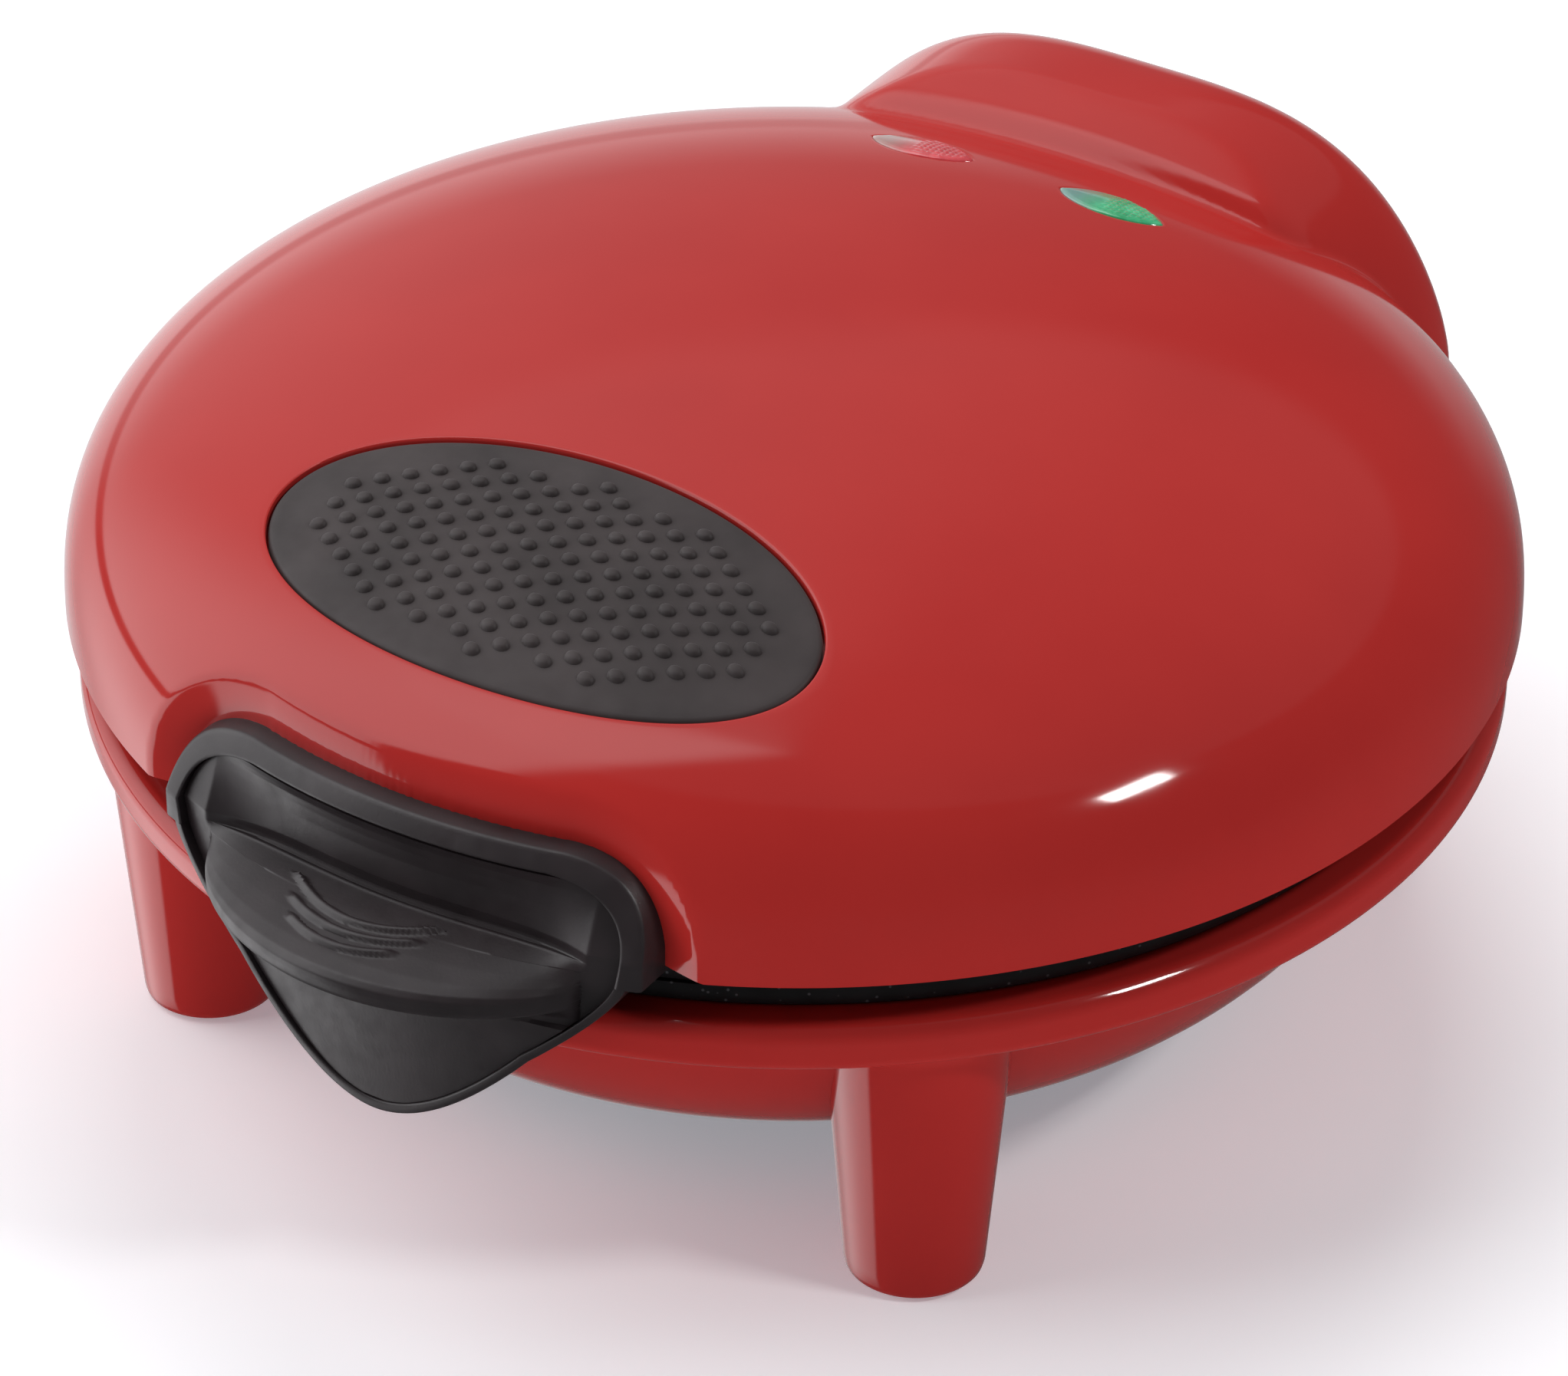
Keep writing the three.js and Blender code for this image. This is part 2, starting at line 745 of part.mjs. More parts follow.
const redPlastic = finish("#b3202a", 0.18);
const blackPlastic = finish("#1c1a1b", 0.5);
const softRubber = finish("#2c2829", 0.8);
const nonStick = finish("#1b1b1d", 0.45, 0.3);
const steel = finish("#b9babd", 0.35, 1);
const elementSheath = finish("#6f6a62", 0.5, 0.8);
const redLens = finish("#c9363c", 0.15);
const greenLens = finish("#3aa274", 0.15);
const neonGlass = finish("#e8d6c4", 0.1);
const whiteResin = finish("#d9d5cb", 0.6);

const donutMaker = new THREE.Group();
donutMaker.name = "donut_maker";
donutMaker.position.y = (handleFrontRadius + lipReach - humpOffset - humpHalfDepth) / 2;

function place(name, body, material, x = 0, y = 0) {
  const mesh = new THREE.Mesh(geometryOf(body), material);
  mesh.name = name;
  mesh.position.set(x, y, 0);
  donutMaker.add(mesh);
}

place("lid_shell", lidShell(), redPlastic);
place("top_pad", touchPad(), softRubber);
place("power_lens", lens(-1), redLens);
place("ready_lens", lens(1), greenLens);
place("lamp_holder", lampHolder(), whiteResin);
place("lamp_holder_screw", holderScrew(), steel);
place("power_lamp", lamp(-1), neonGlass);
place("ready_lamp", lamp(1), neonGlass);
place("handle_surround", handleSurround(), blackPlastic);
place("handle_grip", handleGrip(), blackPlastic);
handleScrewPlaces().forEach((spot, i) => place("handle_screw_" + (i + 1), handleScrew(spot), steel));

place("upper_plate", upper(plate()), nonStick);
place("upper_element", upper(element()), elementSheath);
place("upper_reflector", upper(reflector()), steel);
place("upper_reflector_screw", upper(reflectorScrew()), steel);
place("lower_plate", plate(), nonStick);
place("lower_element", element(), elementSheath);
place("lower_reflector", reflector(), steel);
place("lower_reflector_screw", reflectorScrew(), steel);
plateScrewPlaces().forEach(([x, y], i) => {
  place("upper_plate_screw_" + (i + 1), upper(plateScrew()), steel, x, y);
  place("lower_plate_screw_" + (i + 1), plateScrew(), steel, x, y);
});

place("base_shell", baseShell(), redPlastic);
place("hinge_pin", hingePin(), steel);
place("base_cover", baseCover(), blackPlastic);
coverScrewPlaces().forEach(([x, y], i) => {
  place("base_cover_screw_" + (i + 1), coverScrew(), steel, x, y);
});
legPlaces().forEach(([x, y], i) => place("foot_pad_" + (i + 1), footPad(), softRubber, x, y));
place("thermostat", thermostat(), whiteResin);
place("thermal_fuse", thermalFuse(), whiteResin);
place("terminal_block", terminalBlock(), whiteResin);
place("cable_gland", cableGland(), softRubber);

export default donutMaker;
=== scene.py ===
# Red clamshell donut maker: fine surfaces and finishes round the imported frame.
# Shapes are worked out in millimetres from the middle of the plates at floor level, with +Z up, the
# handle towards -Y and the hinge towards +Y, and put into the frame in metres.
import json
import math

import bpy
import numpy as np
from mathutils import Matrix, Vector
from mathutils.geometry import delaunay_2d_cdt


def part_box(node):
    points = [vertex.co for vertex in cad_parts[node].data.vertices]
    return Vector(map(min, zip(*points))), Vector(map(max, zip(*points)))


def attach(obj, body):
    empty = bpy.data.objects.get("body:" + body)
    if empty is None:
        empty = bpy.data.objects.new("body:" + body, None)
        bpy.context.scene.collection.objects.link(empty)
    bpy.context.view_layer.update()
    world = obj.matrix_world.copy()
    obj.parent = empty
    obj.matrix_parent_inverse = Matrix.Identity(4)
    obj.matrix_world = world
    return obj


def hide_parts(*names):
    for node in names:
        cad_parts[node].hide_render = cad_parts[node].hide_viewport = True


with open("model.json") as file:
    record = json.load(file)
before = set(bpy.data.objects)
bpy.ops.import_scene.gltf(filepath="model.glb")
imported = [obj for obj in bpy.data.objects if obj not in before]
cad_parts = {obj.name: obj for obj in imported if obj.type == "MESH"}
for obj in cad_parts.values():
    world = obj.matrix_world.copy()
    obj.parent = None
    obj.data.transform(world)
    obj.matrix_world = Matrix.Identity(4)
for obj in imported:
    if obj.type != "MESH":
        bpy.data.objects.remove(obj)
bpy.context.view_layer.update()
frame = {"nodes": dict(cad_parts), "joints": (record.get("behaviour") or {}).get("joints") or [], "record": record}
mm = 0.001
plateLow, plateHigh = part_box("lower_plate")
centreY = (plateLow.y + plateHigh.y) / 2
print("frame loaded:", len(frame["nodes"]), "nodes")


def boxOf(node):
    low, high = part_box(node)
    shift = np.array([0, centreY, 0])
    return (np.array(low) - shift) / mm, (np.array(high) - shift) / mm


hingePoint = np.array(frame["joints"][0]["pos_m"]) / mm - [0, centreY / mm, 0]
parting = (boxOf("lower_plate")[1][2] + boxOf("upper_plate")[0][2]) / 2


def linear(code):
    # sRGB hex to linear light: c / 12.92 below 0.04045, else ((c + 0.055) / 1.055) ** 2.4
    parts = [int(code[i:i + 2], 16) / 255 for i in (1, 3, 5)]
    return tuple(c / 12.92 if c < 0.04045 else ((c + 0.055) / 1.055) ** 2.4 for c in parts) + (1.0,)


def addNode(tree, kind, settings=None, inputs=None):
    # adds a node; an input is given a value, or another node's socket to link
    node = tree.nodes.new(kind)
    for name, value in (settings or {}).items():
        setattr(node, name, value)
    for name, value in (inputs or {}).items():
        if isinstance(value, bpy.types.NodeSocket):
            tree.links.new(value, node.inputs[name])
        else:
            node.inputs[name].default_value = value
    return node


def startMaterial(name, **shader):
    material = bpy.data.materials.new(name)
    material.use_nodes = True
    tree = material.node_tree
    tree.nodes.clear()
    surface = addNode(tree, "ShaderNodeBsdfPrincipled", inputs=shader)
    output = addNode(tree, "ShaderNodeOutputMaterial")
    tree.links.new(surface.outputs["BSDF"], output.inputs["Surface"])
    place = addNode(tree, "ShaderNodeTexCoord").outputs["Object"]
    return material, tree, surface, place


def clouds(tree, place, sizeMm, low=0, high=1):
    # soft blotches about sizeMm across: the middle 0.3..0.7 of a noise carried over low..high
    noise = addNode(tree, "ShaderNodeTexNoise",
                    inputs={"Vector": place, "Scale": 1000 / sizeMm, "Detail": 3.0})
    moved = addNode(tree, "ShaderNodeMapRange",
                    inputs={"Value": noise.outputs["Fac"], "From Min": 0.3, "From Max": 0.7,
                            "To Min": low, "To Max": high})
    return moved.outputs["Result"]


def twoTone(tree, share, first, second):
    # a blend of two colours, each an sRGB code or another node's colour
    first, second = (linear(c) if isinstance(c, str) else c for c in (first, second))
    return addNode(tree, "ShaderNodeMix", {"data_type": "RGBA"}, {0: share, 6: first, 7: second}).outputs[2]


def roughen(tree, place, surface, sizeMm, heightMm, detail):
    # a fine relief of grains about sizeMm across and heightMm high
    noise = addNode(tree, "ShaderNodeTexNoise",
                    inputs={"Vector": place, "Scale": 1000 / sizeMm, "Detail": detail})
    bump = addNode(tree, "ShaderNodeBump",
                   inputs={"Strength": 1.0, "Distance": heightMm * mm, "Height": noise.outputs["Fac"]})
    tree.links.new(bump.outputs["Normal"], surface.inputs["Normal"])


# common name, shader settings, two close colours with the size of their blotches, the range of the
# roughness with the size of its patches, and a relief: grain size, height and detail; sizes in mm
mottled = {
    # ABS, injection moulded in a polished tool: deep even red under a gloss, with a faint orange peel
    "red_plastic": {"name": "gloss red ABS", "shader": {"IOR": 1.45}, "colours": ("#b42a27", "#ba2e2a"),
                    "tintMm": 40, "roughness": (0.07, 0.10), "grainMm": 12, "relief": (8.0, 0.002, 1.0)},
    # glass-filled nylon, moulded in a spark-eroded tool: near-black satin with a fine even grain. The
    # real grain is about 0.1 mm and is drawn at 0.5 mm so that it shows
    "black_plastic": {"name": "satin black nylon", "shader": {"IOR": 1.53}, "colours": ("#261f21", "#31292b"),
                      "tintMm": 9, "roughness": (0.34, 0.46), "grainMm": 3, "relief": (0.5, 0.016, 3.0)},
    # silicone rubber, compression moulded: warm dark grey, soft and dull, with a little bloom on it
    "soft_rubber": {"name": "matt silicone rubber",
                    "shader": {"IOR": 1.43, "Sheen Weight": 0.12, "Sheen Roughness": 0.5},
                    "colours": ("#302929", "#3f3737"), "tintMm": 14,
                    "roughness": (0.52, 0.66), "grainMm": 4, "relief": (0.6, 0.012, 3.0)},
    # zinc-plated mild steel: pale grey metal with faint cloudy patches in its shine
    "steel": {"name": "zinc-plated steel", "shader": {"Metallic": 1.0}, "colours": ("#a9abb0", "#c6c8cc"),
              "tintMm": 5, "roughness": (0.24, 0.42), "grainMm": 2},
    # steel heater tube, oxidised by use: brown-grey with darker bands of scale
    "element_sheath": {"name": "oxidised heater tube", "shader": {"Metallic": 1.0},
                       "colours": ("#4d453d", "#857b6d"), "tintMm": 8, "roughness": (0.4, 0.6), "grainMm": 2},
    # phenolic resin, compression moulded: off-white, slightly mottled, matt
    "white_resin": {"name": "off-white phenolic resin", "shader": {"IOR": 1.6},
                    "colours": ("#cbc6b8", "#ded9cc"), "tintMm": 4, "roughness": (0.45, 0.6), "grainMm": 1.5},
    # soda glass bulb of a neon lamp: clear, with a faint warm tint
    "neon_glass": {"name": "soda glass", "shader": {"IOR": 1.5, "Transmission Weight": 0.8},
                   "colours": ("#e6cdb8", "#f2e4d6"), "tintMm": 5, "roughness": (0.05, 0.1), "grainMm": 2},
}


def mottledFinish(values):
    material, tree, surface, place = startMaterial(values["name"], **values["shader"])
    tint = twoTone(tree, clouds(tree, place, values["tintMm"]), *values["colours"])
    tree.links.new(tint, surface.inputs["Base Color"])
    tree.links.new(clouds(tree, place, values["grainMm"], *values["roughness"]), surface.inputs["Roughness"])
    if "relief" in values:
        roughen(tree, place, surface, *values["relief"])
    return material


# PTFE coating, sprayed on cast aluminium: black with sparse fine pale flecks and a low sheen
ptfe = {
    "deep": "#121213", "light": "#1b1b1d", "fleck": "#4a4a4d", "fleckMm": 1.6, "fleckEdge": (0.10, 0.16),
    "roughness": (0.30, 0.42), "grainMm": 0.7, "height": 0.01,
}


def nonStickCoating():
    material, tree, surface, place = startMaterial("PTFE non-stick coating", IOR=1.38)
    ground = twoTone(tree, clouds(tree, place, 6), ptfe["deep"], ptfe["light"])
    cells = addNode(tree, "ShaderNodeTexVoronoi", inputs={"Vector": place, "Scale": 1000 / ptfe["fleckMm"]})
    near = addNode(tree, "ShaderNodeMapRange",
                   inputs={"Value": cells.outputs["Distance"], "From Min": ptfe["fleckEdge"][0],
                           "From Max": ptfe["fleckEdge"][1], "To Min": 1.0, "To Max": 0.0})
    flecked = twoTone(tree, near.outputs["Result"], ground, ptfe["fleck"])
    tree.links.new(flecked, surface.inputs["Base Color"])
    tree.links.new(clouds(tree, place, 1.2, *ptfe["roughness"]), surface.inputs["Roughness"])
    roughen(tree, place, surface, ptfe["grainMm"], ptfe["height"], 3.0)
    return material


# polycarbonate, tinted and clear: its colour holds painted light, the tint painted bright over its prisms at one
# end as though they shone, and a painted milky grey see-through sheen where it is smooth
def tintedPolycarbonate(name, deep, bright, paintedSeeThroughGrey, middleX, halfLength):
    gloss = {"IOR": 1.58, "Roughness": 0.12, "Coat Weight": 1.0, "Coat Roughness": 0.03,
             "Subsurface Weight": 0.25, "Subsurface Scale": 0.002}
    material, tree, surface, place = startMaterial(name, **gloss)
    apart = addNode(tree, "ShaderNodeSeparateXYZ", inputs={"Vector": place})
    along = addNode(tree, "ShaderNodeMapRange", {"interpolation_type": "SMOOTHSTEP"},
                    {"Value": apart.outputs["X"], "From Min": (middleX - 0.75 * halfLength) * mm,
                     "From Max": (middleX + 0.1 * halfLength) * mm, "To Min": 0.0, "To Max": 1.0})
    clear = twoTone(tree, clouds(tree, place, 3), deep, bright)
    # painted light: the colour runs from a painted see-through grey at the smooth end to the tint, painted
    # brighter over the prisms
    tree.links.new(twoTone(tree, along.outputs["Result"], paintedSeeThroughGrey, clear), surface.inputs["Base Color"])
    return material


# deep and bright over the prisms, then the milky end; the bright tint and the milky grey are painted light
lensColoursWithPaintedLight = {"red": ("#c22a33", "#e2525a", "#a87f78"), "green": ("#1f9e63", "#54cf94", "#6f9c92")}
lensLow, lensHigh = boxOf("ready_lens")
lensMiddle = (lensLow + lensHigh) / 2
lensHalf = (lensHigh - lensLow) / 2
finishes = {
    "non_stick": nonStickCoating(),
    "red_lens": tintedPolycarbonate("red polycarbonate", *lensColoursWithPaintedLight["red"],
                                    -lensMiddle[0], lensHalf[0]),
    "green_lens": tintedPolycarbonate("green polycarbonate", *lensColoursWithPaintedLight["green"],
                                      lensMiddle[0], lensHalf[0]),
}
for slot, values in mottled.items():
    finishes[slot] = mottledFinish(values)
for row in frame["record"]["subparts"]:
    node = frame["nodes"][row["node"]]
    node.data.materials.clear()
    node.data.materials.append(finishes[row["material_slot"]])
print("finishes made:", len(finishes))


def makePiece(name, points, faces, body, slot, replaced=(), sharpDegrees=50):
    # points are N x 3 in millimetres; faces is a list of index arrays, four or three to a row
    mesh = bpy.data.meshes.new(name)
    metres = np.asarray(points, float) * mm + [0, centreY, 0]
    mesh.from_pydata(metres.tolist(), [], [row for block in faces for row in np.asarray(block).tolist()])
    mesh.validate()
    mesh.shade_smooth()
    mesh.set_sharp_from_angle(angle=math.radians(sharpDegrees))
    piece = bpy.data.objects.new(name, mesh)
    bpy.context.scene.collection.objects.link(piece)
    mesh.materials.append(finishes[slot])
    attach(piece, body)
    if replaced:
        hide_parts(*replaced)
    return piece


def ringFaces(ringCount, ringSize, first=0, turned=False):
    # quads between rings of points that follow one another
    i = np.arange(ringCount - 1)[:, None] * ringSize
    j = np.arange(ringSize)[None, :]
    k = (j + 1) % ringSize
    quads = np.stack([i + j, i + k, i + ringSize + k, i + ringSize + j], -1).reshape(-1, 4) + first
    return quads[:, ::-1] if turned else quads


def fanFaces(ring, tip, turned=False):
    fan = np.stack([ring, np.roll(ring, -1), np.full(len(ring), tip)], -1)
    return fan[:, ::-1] if turned else fan


def unitCircle(count):
    turn = np.arange(count) * 2 * np.pi / count
    return np.stack([np.cos(turn), np.sin(turn)], -1)


def stackRings(sizes, heights, around):
    # one ring for each size and height: the outline round the middle times its size
    flat = np.asarray(sizes, float)[:, None, None] * around
    heights = np.asarray(heights, float)[:, None, None]
    return np.concatenate([flat, np.broadcast_to(heights, flat.shape[:2] + (1,))], -1)


def turnedPiece(name, profile, body, slot, segments=128, replaced=(), sharpDegrees=50, move=None):
    # profile of (radius, height) carried round the Z axis, from its lower pole outwards and up; move
    # carries the finished points to their place
    profile = np.asarray(profile, float)
    solid = profile[0][0] == 0
    inner = profile[1:-1] if solid else profile
    points = stackRings(inner[:, 0], inner[:, 1], unitCircle(segments)).reshape(-1, 3)
    faces = [ringFaces(len(inner), segments)]
    j = np.arange(segments)
    last = (len(inner) - 1) * segments
    if solid:
        points = np.vstack([points, [0, 0, profile[0][1]], [0, 0, profile[-1][1]]])
        faces.append(fanFaces(j, len(points) - 2, True))
        faces.append(fanFaces(j + last, len(points) - 1))
    else:
        k = (j + 1) % segments
        faces.append(np.stack([last + j, last + k, k, j], -1))
    return makePiece(name, move(points) if move else points, faces, body, slot, replaced, sharpDegrees)


def rounded(corners, radius, steps=4):
    # replaces each inner corner of a (radius, height) outline by an arc-like curve: a quadratic curve
    # between points at most radius from the corner along its two sides
    corners = np.asarray(corners, float)
    out = [corners[0]]
    for before, corner, after in zip(corners, corners[1:], corners[2:]):
        reach = [min(radius, np.linalg.norm(end - corner) / 2.2) for end in (before, after)]
        start = corner + (before - corner) / np.linalg.norm(before - corner) * reach[0]
        end = corner + (after - corner) / np.linalg.norm(after - corner) * reach[1]
        t = np.linspace(0, 1, steps + 1)[:, None]
        out.extend((1 - t) ** 2 * start + 2 * t * (1 - t) * corner + t ** 2 * end)
    return np.vstack([*out, corners[-1]])


def smoothStep(value, low, high):
    t = np.clip((value - low) / (high - low), 0, 1)
    return t * t * (3 - 2 * t)


lidHigh = boxOf("lid_shell")[1]
lid = {
    "radius": lidHigh[0], "edge": parting + 5, "top": lidHigh[2], "planPower": 2.2, "risePower": 2.75,
    "wall": 2.5, "humpHalfWidth": 56.2, "humpFront": 16.0, "humpBack": 25.8, "humpRise": 38.6,
    "humpPowers": (3.3, 6.0, 1.45), "blend": 0.9,
    # the crescent: where its chord lies, how it sags, and the slopes above and below the chord
    "chordY": 80.0, "chordZ": 98.2, "crescentSag": 0.0027, "cuts": (0.34, 0.95), "cutRound": 0.5,
    "rings": 132, "columns": 540, "castFrom": 85.0, "castReach": 45,
    # inside: coarser rings, a softer join, drawn in behind the handle and eased round the hinge
    "innerRings": 16, "innerBlend": 2.0, "innerFrontY": -60, "innerFrontShare": 0.975,
    "easeHalf": 22, "easeFromY": 100, "easeHeight": 6, "easeDepth": 0.8,
}
lid["humpY"] = lidHigh[1] - lid["humpBack"]
lid["rise"] = lid["top"] - lid["edge"]
pad = {"y": -66.5, "half": (44.5, 22.0), "sunk": 0.3, "thickness": 2.4, "gap": 0.3, "edgeRound": 0.7}
lens = {"x": abs(lensMiddle[0]), "y": lensMiddle[1], "half": (9.4, 4.4), "gap": 0.35, "seatDrop": 1.6}
flare = {
    "width": 6.5, "depth": 4.6, "clearance": -1.0, "pocket": 7.4, "behind": 1.5, "step": 2.0,
    "frontY": -70, "halfWidth": 58, "top": 92,
}
handleLow, handleHigh = boxOf("handle_surround")
handle = {
    "halfWidth": handleHigh[0], "bottom": handleLow[2], "top": handleHigh[2], "shelf": lid["edge"] - 1,
    "knee": lid["edge"] + 3, "waist": 38.0, "topHalf": 26.0, "front": 110.0, "lean": 6.5, "block": 7.0,
    "tongue": 2.9, "frame": 3.0, "tongueFrame": 1.7, "seam": 0.15, "inlay": 0.3,
}


def curve(a, b, c, count):
    # quadratic curve from a to c drawn towards b, without its last point
    t = np.linspace(0, 1, count, endpoint=False)[:, None]
    a, b, c = (np.array(p, float) for p in (a, b, c))
    return (1 - t) ** 2 * a + 2 * t * (1 - t) * b + t ** 2 * c


def handleOutline(inset, stepped):
    # shield outline in X and Z, anticlockwise from its lowest point: a tongue of two curves, a step to
    # the wide block, a rounded shoulder and a flat top, mirrored for the other half
    thin = inset * handle["tongueFrame"] / handle["frame"]
    bottom, top = handle["bottom"] + thin, handle["top"] - inset
    waist, wide = handle["waist"] - thin, handle["halfWidth"] - inset
    topHalf = handle["topHalf"] - inset / 2
    lowHalf, lowZ = 0.64 * waist, bottom + 0.5 * (lid["edge"] - bottom)
    shelf, side = handle["shelf"], handle["knee"]
    out = wide if stepped else waist
    half = np.vstack([
        curve((0, bottom), (0.26 * waist, bottom), (lowHalf, lowZ), 26),
        curve((lowHalf, lowZ), (waist - 2, lid["edge"] - 6), (waist, shelf), 20),
        curve((waist, shelf), (out * 0.5 + waist * 0.5, shelf), (out, shelf), 4),
        curve((out, shelf), (wide if stepped else (waist + wide) / 2, shelf + 2), (wide, side), 8),
        curve((wide, side), (wide - 1, top - 1), (topHalf, top), 36),
        curve((topHalf, top), (topHalf / 2, top), (0, top), 24),
        [(0, top)],
    ])
    return np.vstack([half, (half * [-1, 1])[1:-1][::-1]])


def handleFace(z):
    share = np.clip((z - handle["knee"]) / (handle["top"] - handle["knee"]), 0, None)
    return handle["front"] - handle["lean"] * share


def outsideHandle(x, z):
    # distance of each point outside the block's outline, negative inside: the distance to the nearest
    # outline point, signed by comparing radii about the shield's middle
    outline = handleOutline(0, True)
    middle = np.array([0, lid["edge"] - 2])
    around = np.arctan2(*(outline - middle).T[::-1])
    order = np.argsort(around)
    reach = np.hypot(*(outline - middle).T)
    here = np.stack([x, z], -1) - middle
    limit = np.interp(np.arctan2(here[:, 1], here[:, 0]), around[order], reach[order], period=2 * np.pi)
    spacing = np.sqrt(((np.stack([x, z], -1)[:, None] - outline[None]) ** 2).sum(-1)).min(1)
    return np.where(np.hypot(*here.T) > limit, spacing, -spacing)


def domeHeight(x, y, inset=0.0):
    # superellipse dome: (r / radius) ** planPower + (h / rise) ** risePower = 1
    share = np.clip(np.hypot(x, y) / (lid["radius"] - inset), 0, 1) ** lid["planPower"]
    return lid["edge"] + (lid["rise"] - inset) * (1 - share) ** (1 / lid["risePower"])


def powerLevel(sizes, spans, powers):
    # rough distance outside the shape where the sum of (size / span) ** power is one: the sum less one,
    # over the length of its slope
    terms = list(zip(sizes, spans, powers))
    level = sum((size / span) ** power for size, span, power in terms)
    slopes = [power / span * (size / span) ** (power - 1) for size, span, power in terms]
    return (level - 1) / np.maximum(np.sqrt(sum(slope ** 2 for slope in slopes)), 1e-3)


def softLower(first, second, width):
    # polynomial smooth minimum: a quadratic joins the two where they are less than width apart
    share = np.clip(0.5 + 0.5 * (first - second) / width, 0, 1)
    return first * (1 - share) + second * share - width * share * (1 - share)


def lidGap(p, inset, blend):
    # rough distance outside the dome joined softly to the hump. The hump's front is first cut by a
    # gentle slope and a steep one that meet on a line and sag to both sides, which leaves a crescent
    height = np.maximum(p[:, 2] - lid["edge"], 0)
    dome = powerLevel((np.hypot(p[:, 0], p[:, 1]), height), (lid["radius"] - inset, lid["rise"] - inset),
                      (lid["planPower"], lid["risePower"]))
    x, y = np.abs(p[:, 0]), p[:, 1] - lid["humpY"]
    depth = np.where(y < 0, lid["humpFront"], lid["humpBack"]) - inset
    spans = (lid["humpHalfWidth"] - inset, depth, lid["humpRise"] - inset)
    hump = powerLevel((x, np.abs(y), height), spans, lid["humpPowers"])
    for slope in lid["cuts"]:
        cut = lid["chordZ"] + slope * (p[:, 1] - lid["chordY"]) - lid["crescentSag"] * x ** 2
        cut = (p[:, 2] - cut) / math.hypot(1, slope) + inset
        hump = -softLower(-hump, -cut, lid["cutRound"])
    return softLower(hump, dome, blend)


def castLid(base, inset, blend):
    # each point of the plain dome is carried out along the ray from a spot under the hump until it
    # meets the joined surface, found by halving
    start = np.array([0, lid["castFrom"], lid["edge"]])
    ray = base - start
    low, high = np.full(len(base), 0.05), np.full(len(base), 1.0)
    high += lid["castReach"] / np.maximum(np.linalg.norm(ray, axis=1), 1)
    for _ in range(30):
        middle = (low + high) / 2
        inside = lidGap(start + ray * middle[:, None], inset, blend) < 0
        low, high = np.where(inside, middle, low), np.where(inside, high, middle)
    return start + ray * low[:, None]


def lidColumns():
    # angles round the lid, closer together at the handle and the hump
    t = np.linspace(-np.pi, np.pi, 2000)
    weight = 1 + 1.5 * np.exp(-(t / 0.5) ** 2) + 0.4 * np.exp(-((np.abs(t) - np.pi) / 0.7) ** 2)
    total = np.cumsum(weight)
    wanted = np.linspace(total[0], total[-1], lid["columns"], endpoint=False)
    return np.interp(wanted, total, t) - np.pi / 2


def lidRadii(inset, count):
    # radii and heights at even steps along the dome's outline, from the edge up to near the crown
    t = np.linspace(0, np.pi / 2, 4000)
    r = (lid["radius"] - inset) * np.cos(t) ** (2 / lid["planPower"])
    z = lid["edge"] + (lid["rise"] - inset) * np.sin(t) ** (2 / lid["risePower"])
    along = np.r_[0, np.cumsum(np.hypot(np.diff(r), np.diff(z)))]
    even = np.linspace(0, along[-1], count + 1)[:-1]
    return np.interp(even, along, r), np.interp(even, along, z)


def recessHandle(p):
    # the skirt falls back round the handle: a flare that deepens towards the outline, then the pocket
    near = (p[:, 1] < flare["frontY"]) & (np.abs(p[:, 0]) < flare["halfWidth"]) & (p[:, 2] < flare["top"])
    spots = p[near]
    gap = outsideHandle(spots[:, 0], spots[:, 2])
    slope = flare["depth"] * np.clip(1 - np.maximum(gap, 0) / flare["width"], 0, 1)
    r = np.hypot(spots[:, 0], spots[:, 1])
    deepest = handleFace(spots[:, 2]) - handle["block"] - flare["behind"]
    under = smoothStep(flare["clearance"] - gap, 0, flare["step"])
    sunk = (r - slope) * (1 - under) + np.minimum(r - flare["pocket"], deepest) * under
    p[near, :2] *= (sunk / r)[:, None]
    return p


def padShare(dx, dy, half):
    return np.hypot(dx / half[0], dy / half[1])


def lensShare(dx, dy, half):
    # size of the almond through a point: the mean of the size of an ellipse and that of two parabolic
    # arcs, so that its ends are blunt
    q, s = np.abs(dy) / half[1], np.abs(dx) / half[0]
    return (np.hypot(q, s) + (q + np.sqrt(q * q + 4 * s * s)) / 2) / 2


